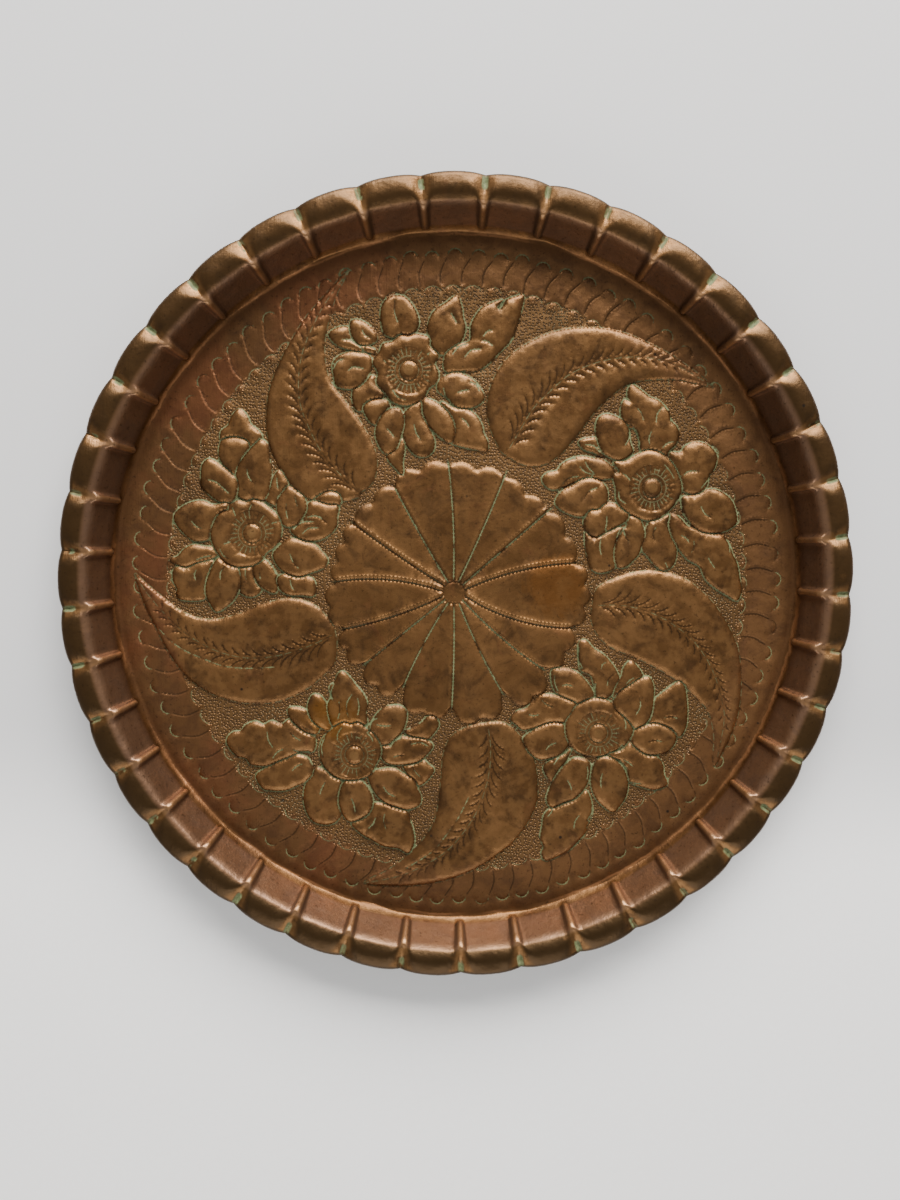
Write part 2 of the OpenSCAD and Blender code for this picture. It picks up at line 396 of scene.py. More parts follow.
# Each flower: its middle, its forms from the lowest to the topmost, its heart, and its short cuts
FLOWERS = [
    dict(
        middle=(-20, 87),
        forms=[
            [(-29, 101), (-31, 106), (-31, 112), (-28.5, 115.5), (-25, 116.5), (-21.5, 116), (-18, 112),
             (-16, 107), (-17, 103), (-21, 100)],
            [(-8, 94), (-11.5, 99), (-12, 105), (-9.5, 110.5), (-4.5, 114), (-0.5, 116.5), (1.5, 112),
             (2, 108), (3, 104), (1.5, 99), (-3, 94)],
            [(-5, 93), (0, 97), (5, 99), (5.5, 105), (9, 111), (13, 113.5), (18.5, 114.8), (16.3, 111.3),
             (19.5, 114.8), (24, 116.5), (26.7, 116.5), (25.5, 110), (23.5, 104), (21.5, 99), (17, 94.5),
             (12.5, 90), (8, 87.5), (1, 87), (-5, 87)],
            [(-42.5, 79.5), (-43, 75), (-41, 71), (-37, 72.5), (-31, 76), (-31, 81), (-35, 85), (-39, 82)],
            [(-38.5, 72.5), (-35, 75), (-29, 75), (-28, 70), (-31, 66), (-35, 66), (-37.5, 69)],
            [(-50.5, 85), (-49.5, 81), (-45, 79.8), (-40.5, 81), (-37, 84.5), (-35.5, 88), (-35.5, 92),
             (-39, 94), (-44, 94.3), (-49, 92.3), (-51, 89)],
            [(-52.5, 101), (-49, 103.8), (-44.5, 104), (-42, 101), (-37, 97), (-33.5, 94.5), (-38, 94.5),
             (-44, 95.3), (-49, 97)],
            [(-43.5, 106.3), (-40, 106.8), (-36.5, 105), (-33.5, 101.5), (-33.3, 99), (-36, 97.5),
             (-40, 97.5), (-43.2, 101)],
            [(-7, 74), (-2, 72.3), (4, 71.3), (7.5, 69), (9.8, 65.3), (10.5, 62), (12, 59), (12, 55.3),
             (8, 55.6), (3, 56.5), (-3, 58.5), (-7, 63)],
            [(-8, 82), (-5.5, 84.7), (-1.5, 86), (3, 85.2), (7, 82.5), (10, 78.5), (10.5, 75.5), (7, 72.8),
             (2.5, 72.3), (-1, 73.2), (-4.5, 76.5), (-8, 79)],
            [(-15, 75), (-11, 75.4), (-7, 73), (-4, 70), (-2, 66.5), (-1.5, 62), (-3, 58.5), (-7, 60.5),
             (-11, 64.3), (-14, 68)],
            [(-21.5, 70.5), (-18.5, 73), (-15.5, 74.5), (-15, 70), (-13.5, 66.5), (-11.5, 63), (-9.8, 59.5),
             (-10, 55.5), (-13, 52.8), (-17, 53.2), (-20.5, 56.5), (-22.5, 61.5), (-22.5, 66.5)],
            [(-28, 56.5), (-28.7, 52), (-26, 48.5), (-22.8, 45.5), (-22.8, 50.5), (-22, 55.5), (-23.3, 60)],
            [(-24.5, 72), (-28.5, 71.3), (-32, 67.5), (-33.7, 62.5), (-32.5, 57.5), (-29.5, 54),
             (-25.5, 56), (-23.5, 61), (-22.3, 66), (-22.8, 70)],
        ],
        heart=[(-34.5, 90.5), (-32, 94), (-30.5, 97.5), (-27, 98.3), (-23.5, 100.8), (-20, 100.5),
               (-17, 101.5), (-12, 100), (-11.5, 96.5), (-8, 93), (-9.5, 90), (-8, 86), (-8.8, 82.5),
               (-12, 80), (-14, 76.5), (-18, 74), (-22.5, 73.3), (-27, 75), (-29.5, 78), (-33, 82),
               (-32.5, 86)],
        cuts=[
            [(-25.5, 115), (-25.7, 110), (-24.3, 105.5)], [(-3, 110), (-1.5, 107.5), (0, 105)],
            [(10, 100), (12, 102.5), (14.5, 103)], [(8.5, 99), (12, 98.5), (14.5, 96.5)],
            [(2.5, 92), (5.5, 95), (10, 95.5)], [(-2.5, 93), (0.5, 96.5), (4.5, 97.8)],
            [(2, 87), (6, 86.5), (10, 87.5)], [(-45, 86.5), (-42.5, 88.3), (-38, 87.5)],
            [(-51, 87), (-49, 90.5), (-46, 91.5)], [(-47.5, 99), (-43.5, 98.8), (-38, 94.8)],
            [(-39, 103.3), (-37.8, 101), (-34.5, 99.3)], [(-0.5, 78), (2, 79), (5, 79.3)],
            [(4.5, 82.5), (7.5, 81.5), (9, 78.5)], [(-6, 80.5), (-5, 77), (-2.5, 74.3)],
            [(1.3, 68.2), (3.5, 66.5), (5, 64)], [(-18, 66), (-17, 62), (-14.8, 58.8)],
            [(-29.3, 64), (-27.7, 62.5), (-25.8, 60)], [(-30.5, 91.5), (-28.5, 89), (-26.5, 86.3)],
            [(-15.5, 91), (-13, 92.8), (-11, 94.5)], [(-27, 79.5), (-24.5, 76.5), (-21, 75.2)],
        ],
    ),
    dict(
        middle=(80.5, 40),
        forms=[
            [(88.5, 29), (87.8, 24), (89, 19), (92, 15.5), (96, 11), (101, 8), (103.5, 3), (108, -1),
             (113, -4), (117, -6), (118.5, -2), (117.5, 4), (116.5, 9), (114.5, 13), (113, 17), (110, 20.5),
             (105, 21), (99, 23), (95, 25), (92, 28)],
            [(93, 34), (93.5, 36.5), (98, 37), (101, 39), (106, 39.5), (110, 38), (113.5, 35), (115.3, 31),
             (115.8, 26), (112, 23), (107, 22), (101.5, 22.5), (97, 26), (94, 30)],
            [(87.5, 54), (92, 54.5), (94, 57), (98, 58.5), (102, 58), (105.5, 55.5), (107, 52.5), (106, 48),
             (104, 45), (103, 41), (100, 38.3), (96, 38), (92.5, 40), (91.5, 44), (89, 48)],
            [(70, 65), (67.5, 68.5), (67.3, 73), (69, 76), (70, 75), (69.8, 79), (71.5, 81.5), (75, 79.5),
             (79, 76.5), (82, 75.5), (84.5, 73.5), (86.5, 71), (88, 67), (90, 65), (91, 62), (90, 58),
             (87.5, 55.5), (85, 53.5), (78, 54.5), (75.5, 56), (75, 60), (73, 64)],
            [(50.2, 59), (54, 60.3), (59, 60), (60, 57.5), (62, 54.5), (60, 53), (56, 54.5), (52.5, 55.5),
             (50.3, 57.5)],
            [(59, 56), (57, 63), (57.8, 68), (61, 69.8), (65, 68.8), (68.5, 66.5), (70.5, 63), (71, 58.5),
             (72, 54.5), (67, 51.5), (62, 53)],
            [(35, 43.5), (37, 46), (41, 47), (43, 49.5), (47, 52), (52, 52.7), (56, 52), (59.5, 51.5),
             (62.5, 49.5), (64.3, 47), (64, 44.5), (60, 43.8), (55, 44.5), (50, 43.5), (44, 41), (40, 39.5),
             (37, 40.5)],
            [(40.5, 34.5), (43, 38.5), (47, 40.5), (51, 43), (55, 43.8), (59, 42.5), (61.5, 40), (62, 36),
             (60.5, 32.5), (57, 30), (51, 28.5), (46, 29.7), (42, 32)],
            [(80.5, 27), (84, 28), (87.5, 29), (87, 25), (88.5, 20), (91, 15), (90, 9), (86, 6.5),
             (82.5, 8.5), (79, 12.5), (76.5, 15.5), (77.5, 20.5), (78.5, 24)],
            [(54, 24), (53, 19), (54, 13), (56, 7), (60, 5.5), (65, 7), (66.5, 9), (66, 14), (68, 19),
             (69, 23), (64, 24), (60, 21)],
            [(70, 29), (75, 27.5), (77, 24), (77.5, 20.5), (76.3, 17), (75.5, 13.5), (73.5, 11), (70, 8),
             (66.8, 7.8), (65.5, 12), (66, 17), (68.5, 22), (70.5, 25)],
            [(52.5, 27), (55, 30.5), (58.5, 31), (61, 33), (64, 33.8), (67, 32.5), (70.5, 29.5), (70, 27),
             (66, 24.5), (61, 22), (58, 20.3), (55.5, 20.8), (53, 23.5)],
        ],
        heart=[(64.5, 50.5), (69, 50.8), (74, 53.5), (79, 55.2), (84, 53.8), (88.5, 50), (91, 45.5),
               (92.5, 41), (92, 37), (89, 32.5), (84.5, 28.5), (79, 27), (73.5, 28.8), (69, 31.5), (66, 35),
               (65.5, 40), (64.5, 44.5), (67, 46.8)],
        cuts=[
            [(70.3, 63), (70.5, 60), (68.7, 57)], [(73.5, 72.3), (75.5, 70), (76.3, 67)],
            [(81.5, 66), (82, 70), (84.5, 73)], [(84.5, 73.3), (87, 70.5), (87.8, 66.5)],
            [(79.8, 63.3), (78.7, 60), (79.2, 57)], [(84, 56), (86.5, 58.2), (89.5, 58.8)],
            [(70.5, 66.3), (73.5, 63), (75.3, 57.5)], [(52, 57.5), (56, 57), (59, 53.8)],
            [(50, 49), (52.5, 46.5), (56.5, 45.3)], [(52.3, 51), (54, 48), (57, 45.5)],
            [(43, 41.5), (46, 44), (50.5, 44.8)], [(41.5, 49), (45, 51.3), (49, 52)],
            [(52, 35.3), (54, 38.5), (58, 40.3)], [(61.7, 29), (61.7, 25.5), (61, 22.5)],
            [(59.5, 20), (59, 16), (59.7, 12.5)], [(67.5, 23.5), (66, 20), (65.7, 17)],
            [(68.8, 23.5), (69.5, 20.5), (71.3, 17.8)], [(82.3, 24.5), (81, 21.5), (82, 18.5)],
            [(86, 10), (87, 8.5), (87.5, 7)], [(91.5, 28.5), (94, 27), (95.3, 24.5)],
            [(92.3, 21), (95, 19.5), (96.2, 17.5)], [(98, 19), (98.2, 16), (97, 13.5)],
            [(104, 12), (105.5, 9.5), (107.3, 7)], [(110.5, 20.3), (112.8, 17.5), (113.3, 13.5)],
            [(100.5, 33), (102.5, 29.5), (105.5, 28)], [(93, 45), (95.5, 46.8), (100, 46.8)],
            [(104.3, 46.5), (103.5, 43.5), (100.5, 39.8)], [(85, 49.8), (87.5, 47), (89.5, 43.5)],
            [(67.5, 46.3), (70, 44.5), (72, 42)], [(66.5, 39), (67, 35.5), (70, 33.5)],
        ],
    ),
    dict(
        middle=(59.5, -61.5),
        forms=[
            [(70, -66), (75, -66.5), (79, -70), (84, -71.5), (87, -75), (87.5, -79), (89, -83.5),
             (84, -85.5), (79, -84.5), (73, -82), (72, -77), (69, -73), (64, -70.5)],
            [(80.5, -56.5), (82.7, -52), (83, -48), (86, -45), (90, -42), (93, -40), (95.5, -42),
             (96.5, -47), (97, -53), (96.5, -59), (94, -63), (91, -60), (86.5, -58)],
            [(51, -24), (53.5, -22.5), (57, -26), (61, -28.5), (64, -31.5), (66.5, -35), (68, -39.5),
             (66, -44), (62, -47), (58.5, -46), (57.5, -41), (56, -37), (52, -35), (51, -30)],
            [(69, -38), (70, -34), (72.5, -31.3), (75, -33), (77.5, -36.5), (78, -39), (73, -41.5),
             (69.5, -44), (66, -47), (66.5, -43)],
            [(66.3, -52), (66.5, -47), (69.5, -43.5), (73.5, -41), (76.5, -39), (80.5, -38), (82.5, -42),
             (82.5, -47), (82, -52), (80.5, -56), (76.5, -60), (73, -61), (70, -57)],
            [(74, -61.5), (78, -59), (83, -57.7), (88, -59), (91.5, -61.5), (92.5, -64.5), (90, -68.5),
             (86, -70.3), (81, -70.5), (77, -68.5), (74, -65.5)],
            [(39.5, -36), (41, -34.5), (46, -34.5), (50, -36), (53, -38.5), (55, -41), (57, -44.5),
             (56.5, -47.5), (51, -49), (46, -47.5), (42, -45), (40, -41)],
            [(22.5, -55.5), (25, -52.5), (29, -51), (32, -48.5), (35, -45.7), (40, -45.3), (45, -47),
             (50, -49.5), (49, -53), (46, -56.5), (40, -57), (34, -58.5), (28, -60), (25, -58)],
            [(36.5, -76.5), (40, -73), (45.5, -70.5), (48, -68.5), (46, -73), (43, -76.5), (40, -82)],
            [(28, -63.5), (32, -60.5), (37, -58), (42, -57.3), (45, -58.5), (46.5, -62), (47, -66),
             (44.5, -69.5), (41, -71.5), (35, -72.5), (31, -70), (29, -67)],
            [(40.5, -93), (37, -96.5), (36.3, -101), (35.5, -106), (37, -110), (36, -113), (38, -116),
             (43, -114), (47, -112), (50.5, -108.5), (54.5, -104), (55, -101), (57.2, -96), (57, -91.5),
             (54.5, -86), (50, -88.5), (45, -91)],
            [(50, -72), (46, -75), (42.5, -79), (39.5, -84.5), (38, -89.5), (40, -93), (45, -91), (50, -89),
             (54.5, -84), (56, -78), (55.5, -73.5)],
            [(57.5, -76), (60, -72.5), (64, -71.7), (68, -74), (71, -78), (72.3, -83), (71.5, -88.5),
             (69, -92.5), (66.3, -95.2), (62, -92.5), (58.5, -88.5), (56.8, -82.5)],
        ],
        heart=[(46, -57), (46, -62), (48, -66.5), (51, -69.5), (55, -70.7), (60, -71), (64.5, -69.5),
               (69, -68), (72, -65), (74, -60.5), (72, -57), (69.5, -54.5), (66.5, -52), (65, -49),
               (61.5, -47.3), (57, -47), (53, -48.5), (50, -50.5), (48.5, -53)],
        cuts=[
            [(40.8, -36.5), (40.8, -40), (42.3, -44)], [(43.5, -41.5), (46, -41), (48.8, -41.7)],
            [(51, -25), (50.8, -30), (52.5, -34.5)], [(60.3, -35), (60.8, -32.5), (62.5, -31.5)],
            [(62.8, -41.8), (63.5, -38.5), (65.7, -36.3)], [(58.2, -40), (57.8, -43), (58.5, -46)],
            [(70.5, -41), (72.5, -39), (74.5, -38)], [(76.5, -46), (77, -50), (75, -54)],
            [(70.2, -55), (71, -57.5), (70.8, -60)], [(86.7, -55), (90, -54.5), (93, -55.3)],
            [(80.2, -65.3), (83, -64.5), (86.7, -65)], [(70, -72.5), (72.5, -74), (74.5, -75.7)],
            [(73, -82), (75.5, -82.8), (78, -82.8)], [(61.5, -78), (60.7, -81.5), (61, -85)],
            [(46.3, -81), (47.8, -83.5), (48.5, -86)], [(54.8, -75), (55.3, -78), (54.8, -81.5)],
            [(52, -96), (50, -99), (49.5, -102.5)], [(57, -92), (57, -95.5), (54.7, -99)],
            [(38, -97), (39.5, -95.5), (41, -93)], [(37, -68.8), (39, -66.5), (42, -65.3)],
            [(35, -47), (37, -49), (40.5, -50.5)], [(29.5, -53.3), (32, -54), (34.5, -53.5)],
            [(40.5, -75), (43, -71.5), (46.3, -69)], [(63, -69.5), (67, -69), (70, -66)],
        ],
    ),
    dict(
        middle=(-43.5, -70.5),
        forms=[
            [(-85, -79.5), (-81.5, -76.5), (-77, -74), (-72, -72.5), (-68, -70.5), (-64, -71.5), (-62, -74),
             (-60.5, -78), (-63.5, -81.5), (-68, -83.5), (-73, -85.5), (-79, -85.5), (-82.5, -84.5)],
            [(-97, -64), (-94.5, -61), (-91, -60.5), (-89, -58), (-85, -56.5), (-81.5, -57.8), (-78, -56.3),
             (-74, -57.8), (-71, -55.8), (-67, -57.5), (-63, -60), (-60, -64), (-61, -69), (-66, -69),
             (-71, -71), (-76, -73), (-81, -75), (-87, -74.5), (-89, -72), (-93, -70.7), (-96, -67.5)],
            [(-71, -51), (-67, -50.5), (-63.5, -52), (-61.5, -55.5), (-58.5, -58.5), (-59.5, -61.5),
             (-64, -60.5), (-68, -57.5), (-70.5, -54.5)],
            [(-61, -45.5), (-58, -45.5), (-55.5, -48.5), (-54, -52), (-52.5, -57), (-54, -60), (-58, -58.5),
             (-61.5, -55), (-62.8, -50)],
            [(-54.5, -50.5), (-53, -46), (-53.5, -42), (-51, -39.5), (-50.3, -37), (-48, -35.5),
             (-45.3, -38), (-43, -41), (-40, -44.5), (-38.2, -48.5), (-38.8, -53), (-38.5, -57.5),
             (-45, -57.5), (-52, -58.5)],
            [(-22, -61), (-18, -59), (-15, -57), (-12.5, -54.5), (-9.5, -54.8), (-8, -58), (-10.5, -62),
             (-13.5, -64.5), (-18, -63)],
            [(-23, -75), (-18.5, -73.5), (-15, -72.5), (-12, -75), (-10, -77), (-12.5, -81), (-16, -83.5),
             (-19, -81.5)],
            [(-38, -60), (-35.5, -56), (-33.5, -53), (-30, -50.5), (-25, -49.8), (-22, -51.5), (-21.5, -55),
             (-23, -60), (-26, -63.5), (-29.5, -67), (-33, -65.5), (-35.5, -62)],
            [(-32.5, -67.5), (-28.5, -66.5), (-24, -63), (-18.5, -63.5), (-13, -64.5), (-10.5, -67),
             (-13.5, -71), (-17, -73.5), (-22, -74.5), (-28, -74.5), (-31.5, -72.5)],
            [(-45, -99.5), (-41, -104), (-36, -107), (-31.5, -109.5), (-25, -110.5), (-21, -112.5),
             (-18.5, -108), (-19, -102.5), (-20.5, -98), (-22, -93.5), (-28, -92.5), (-33, -91), (-37, -92),
             (-40, -97)],
            [(-37.5, -80.5), (-35, -77.5), (-31, -76.5), (-27, -76.3), (-22.5, -79), (-18.5, -81.5),
             (-17, -85), (-15.5, -89), (-16.5, -92), (-21, -93.7), (-26, -92.5), (-31, -90.5), (-35, -86.5)],
            [(-59.5, -76), (-61, -79.5), (-64, -83), (-65, -88), (-64.5, -93), (-62, -98), (-58, -100),
             (-53, -99.7), (-49.5, -96), (-50, -90), (-49, -84), (-50, -80), (-55, -77.5)],
            [(-48.5, -83), (-50, -88), (-49.7, -93), (-46.5, -98.5), (-42, -98), (-37.5, -95), (-36, -90),
             (-37.5, -85.5), (-41, -81.5), (-45, -80.7)],
        ],
        heart=[(-52, -59), (-48, -57), (-44.8, -57.8), (-42, -57), (-39, -59), (-35.5, -62), (-33, -66),
               (-32.5, -70), (-34.5, -74.5), (-37, -78.5), (-41, -80.5), (-46, -81), (-51, -80), (-55, -77),
               (-57.5, -73), (-58, -68), (-56.5, -63.5), (-53.5, -60.5)],
        cuts=[
            [(-49.7, -47.5), (-49.5, -52), (-50.3, -55.5)], [(-44, -44.5), (-46.5, -49), (-45.8, -55)],
            [(-42, -46), (-41.3, -50), (-42, -54)], [(-51.5, -40), (-53, -44), (-52.3, -47.5)],
            [(-65.5, -58), (-64, -59.2), (-62.3, -59.8)], [(-80, -60), (-79.5, -64), (-77.5, -67.5)],
            [(-70.5, -60.5), (-68.5, -62.8), (-65.7, -64.3)], [(-78, -72), (-76, -69.3), (-73, -67.7)],
            [(-69.5, -68), (-66, -69.3), (-62, -68.8)], [(-70, -77.3), (-67.5, -75), (-65, -74)],
            [(-55.5, -81.5), (-57.3, -84.5), (-58.2, -87.5)], [(-45, -88.5), (-43.8, -91.5), (-43.3, -95)],
            [(-30.7, -95), (-31.3, -98.5), (-30.2, -102.3)], [(-34.5, -96.5), (-35.7, -99.5), (-38, -102)],
            [(-31.5, -83.5), (-29.5, -86.5), (-26, -88.3)], [(-19.3, -75), (-17.5, -78), (-15.5, -80)],
            [(-28.5, -67.5), (-26.5, -64.7), (-23.5, -63.3)], [(-27.3, -71.5), (-25, -70.7), (-22, -70.7)],
            [(-20, -66), (-15.5, -65.3), (-12, -67)], [(-37, -59.8), (-36, -56.5), (-33.3, -54.7)],
            [(-34.5, -57.5), (-31, -58.2), (-27.5, -58)], [(-55.5, -62.5), (-57.3, -67), (-56.5, -72)],
            [(-48.5, -58.5), (-50.5, -62), (-50, -66)], [(-38.5, -60.5), (-36, -63.5), (-35.5, -67)],
        ],
    ),
    dict(
        middle=(-85, 21.5),
        forms=[
            [(-97, 58), (-97, 62.5), (-94, 65), (-92.5, 68.5), (-89.5, 71.5), (-86.5, 69), (-85, 65.5),
             (-82, 63), (-80.5, 60), (-84, 55), (-90, 52), (-95, 53)],
            [(-96.5, 49.5), (-98, 53.5), (-97, 58.5), (-93, 60), (-88.5, 59.5), (-86, 57.5), (-86.5, 52),
             (-89.5, 47.5), (-91, 43), (-94, 46)],
            [(-80, 36), (-77.5, 41), (-76, 44), (-73.5, 47), (-71.5, 44.5), (-70, 41), (-72.5, 38),
             (-74.5, 33)],
            [(-90.5, 36.5), (-91.3, 41), (-91, 46), (-89, 50.5), (-86, 54.5), (-83, 57.5), (-80.5, 59.3),
             (-78, 57), (-77.7, 52), (-76.7, 47), (-77.5, 41.5), (-79.5, 36), (-84.5, 34.7)],
            [(-105, 49), (-102.5, 51.5), (-99.5, 50.5), (-95.5, 47.5), (-91.5, 43.5), (-91, 39),
             (-93, 34.5), (-98, 34.5), (-102, 37), (-105.3, 40.5), (-105.5, 44)],
            [(-117, 28.5), (-114, 32), (-109, 34.3), (-104.5, 34.5), (-101, 33), (-95, 33.5), (-94, 30),
             (-99, 27), (-101, 21.5), (-104, 18.8), (-109, 18.5), (-113, 21.5), (-116, 25)],
            [(-117.5, 7), (-118, 2.5), (-116.5, -1), (-116, -5), (-110, -6), (-105, -5), (-103.5, -1),
             (-102.5, 4), (-101, 9), (-104, 11.5), (-109, 10), (-113, 8.5)],
            [(-119, 10.5), (-116, 12), (-113, 15), (-109, 16.8), (-105, 16), (-101, 15.5), (-99.5, 13),
             (-103, 11), (-108, 9.8), (-113, 8)],
            [(-91, 7), (-90.3, 1), (-91.5, -1.5), (-88, -4), (-84, -4), (-81.5, -1), (-83, 3), (-85, 7),
             (-88, 8)],
            [(-99.5, 11), (-102, 7), (-104, 2), (-104.5, -3), (-102.5, -8), (-100, -10.5), (-95, -7.5),
             (-91.8, -3.5), (-90.5, 1), (-91, 6), (-93, 9.5), (-96, 10.5)],
            [(-84, 8.5), (-84.5, 5), (-82.5, 0.5), (-79, -2), (-76, -2.8), (-74.5, 0), (-75, 4), (-77.5, 8),
             (-80, 10.5)],
            [(-74.5, 3.5), (-74, -1), (-70.5, -3.5), (-65, -3.8), (-60, -4), (-59.3, 0), (-60.5, 3),
             (-65, 4.5), (-70, 5)],
            [(-59.5, 34.5), (-55.5, 37.5), (-52, 38.3), (-49, 37), (-48.5, 33.5), (-52, 32.5), (-56, 33.5)],
            [(-69, 22.5), (-66.5, 25.5), (-63.5, 28.5), (-62.5, 32.5), (-59.5, 34.5), (-54, 33),
             (-49.5, 32.5), (-50, 28), (-50.5, 24), (-54, 20.5), (-58, 18.8), (-64, 19)],
            [(-76.5, 12.5), (-74, 16), (-71, 18.5), (-68, 19.3), (-63, 17.8), (-59.5, 17), (-56.5, 14),
             (-54, 10.5), (-56, 7.5), (-61, 5.5), (-65.5, 4), (-70, 5), (-74, 7.5)],
            [(-74.5, 31), (-74, 35), (-72, 38), (-69.5, 40.5), (-66.5, 38.5), (-63.5, 36), (-62.5, 32),
             (-64, 28.5), (-67, 25), (-71, 24.5), (-73.5, 27.5)],
        ],
        heart=[(-94, 33), (-90.5, 34.8), (-87, 34), (-84.5, 35), (-81, 34), (-77.5, 31.5), (-74.5, 28.5),
               (-73, 24), (-73.5, 20), (-75.5, 16.5), (-79.5, 13.5), (-81.5, 10.5), (-85.5, 8.5), (-91, 8),
               (-95.5, 9.5), (-98.5, 12.5), (-101, 16.5), (-102, 21), (-100.5, 26), (-98, 29.5),
               (-94.5, 31)],
        cuts=[
            [(-86.5, 48), (-86.2, 45), (-84.6, 42.3)], [(-103, 43.3), (-99, 42), (-94, 37.5)],
            [(-110, 26.8), (-108, 24.5), (-105.3, 23.3)], [(-108, 7), (-109, 4.5), (-108.3, 2)],
            [(-101.3, 9.5), (-102.7, 7), (-102.8, 5)], [(-96, 8.5), (-98.2, 5.5), (-98.3, 2.2)],
            [(-87.8, 7), (-88, 4.5), (-87.5, 2)], [(-82, 6), (-82, 4.5), (-81.7, 2.5)],
            [(-78.5, 10), (-76.5, 7.5), (-75.3, 4.5)], [(-69.5, 3), (-69, 0), (-67.7, -2)],
            [(-69.5, 13.5), (-68.2, 10), (-65.7, 7)], [(-68.3, 22.8), (-64, 26), (-59, 26.3)],
            [(-64.5, 21), (-61.5, 23.5), (-57, 23.8)], [(-62.5, 28), (-58, 28.5), (-53.5, 25.5)],
            [(-67.2, 36.5), (-66.5, 34), (-66, 32)], [(-70.5, 34), (-70.7, 30.5), (-70, 27)],
            [(-74.3, 44.5), (-74.3, 42), (-73.8, 39)], [(-108.5, 10.5), (-105, 11.8), (-101.5, 12.5)],
            [(-93, 32.5), (-91.5, 28.5), (-89.5, 25.5)], [(-84.7, 33.5), (-85.5, 32), (-86.3, 30)],
            [(-97, 17), (-93, 18.5), (-90, 20.7)], [(-98.5, 15.5), (-97, 12.5), (-94.3, 11)],
            [(-84, 16), (-82, 14.5), (-81, 12.5)], [(-80, 24), (-77, 25.5), (-74.2, 26.2)],
        ],
    ),
]


def border():
    """Scales between two rings of small arches. They lean less on the right."""
    for k in range(SCALES):
        even = k * math.tau / SCALES
        a = even + 0.035 * math.sin(2 * even - 0.7)
        wobble = 0.5 * math.sin(k * 2.4)
        lean = 3.5 - 2.7 * max(0.0, math.cos(a - 0.26)) ** 2 + 0.5 * math.sin(k * 1.3)
        end = a - lean / 131
        turn = math.degrees(end)
        curve = smooth_line([
            ring_point(120.2 + wobble, a),
            ring_point(126, a - lean / 300 + 0.009),
            ring_point(131.6 + wobble, end),
        ])
        yield Stroke(curve + 1.2 * ring_point(1, a - math.pi / 2), width=2.8, depth=0.3, green=0)
        yield Stroke(curve, width=0.75, depth=0.5, green=0.05)
        yield Stroke(curve + 0.75 * ring_point(1, a + math.pi / 2), width=0.8, depth=-0.22)
        hook = arc(ring_point(131.8 + wobble, end - 0.024), 3.0, turn - 80, turn + 85)
        yield Stroke(smooth_line(hook), width=0.75, depth=0.42, green=0.65)
        arch = arc(ring_point(116.9, a + 0.03), 3.9, turn - 65, turn + 70)
        yield Stroke(smooth_line(arch), width=0.75, depth=0.4, green=0.55)


def matted_outline(radius, depth):
    """The edge of the matted ground: a ring of small arches that meet the scales."""
    a = np.linspace(0, math.tau, SCALES * 6, endpoint=False)
    share = a * SCALES / math.tau % 1
    r = radius + depth * np.sqrt(np.maximum(0, 1 - (2 * share - 1) ** 2))
    return np.stack([r * np.cos(a), r * np.sin(a)], axis=1)


def rosette_outline():
    """The lobed ends of the petals, between the ends of their lines."""
    ends = np.array([line[:2] for line in ROSETTE_LINES])
    run = []
    for k, edge in enumerate(ROSETTE_EDGE):
        a, b = ends[k] - HUB, ends[(k + 1) % len(ends)] - HUB
        first = math.atan2(a[1], a[0])
        turn = (math.atan2(b[1], b[0]) - first) % math.tau
        lobes = 2 if turn < 0.5 else 3
        for s in np.linspace(0, 1, 4 * lobes, endpoint=False):
            base = np.linalg.norm(a) * (1 - s) + np.linalg.norm(b) * s
            full = base + (edge + 1.5 - base) * math.sin(math.pi * s) ** 0.5
            r = full + 2.4 * (abs(math.sin(math.pi * lobes * s)) - 0.75)
            run.append(HUB + ring_point(r, first + turn * s))
    return smooth_line(run, closed=True)


def rosette():
    """Petals round a small punched hub, parted by long grooves with a ridge beside each."""
    outline = rosette_outline()
    yield Shape(outline, 0.7, 1.8, Stroke(outline, 0.9, 0.35, 0.3, closed=True))
    for x, y, bow in ROSETTE_LINES:
        line = smooth_line(bowed(HUB + (np.array([x, y]) - HUB) * 0.08, (x, y), bow, 7))
        upper = 1 if x > HUB[0] else -1
        yield Stroke(line, width=2.3, depth=0.3, green=0)
        yield Stroke(line, width=0.8, depth=0.75, green=0.45 if abs(y) < 30 else 0.75)
        ridge = line + normals(line) * upper * 1.1
        yield Stroke(ridge, width=1.15, depth=-0.65 if abs(y) < 34 else -0.4)
    hub = disc(HUB, 4.6)
    yield Shape(hub, 0.2, 1.0, Stroke(hub, 0.8, 0.3, 0.1, closed=True), ground=0.3)
    for k in range(12):
        spot = HUB + ring_point(3.38 * math.sqrt((k + 1) / 12), k * 2.4)
        yield Stroke(np.array([spot, spot + 0.3, spot + 0.5]), width=0.7, depth=0.3, green=0.1)


def veins(line, s, pitch, lean, reach, mark):
    """Short strokes that leave one side of a midrib and lean towards its tip."""
    side = normals(line) * s
    ahead = np.stack([side[:, 1], -side[:, 0]], axis=1) * s
    total = len(line)
    for k in range(int(0.03 * total), int(0.84 * total), int(round(pitch / LINE_STEP))):
        length = reach * (1.0 - 0.72 * k / total)
        start = line[k] + side[k] * 0.9
        end = start + length * (ahead[k] * math.cos(lean) + side[k] * math.sin(lean))
        yield Stroke(smooth_line(bowed(start, end, -s * 0.13 * length)), **mark)


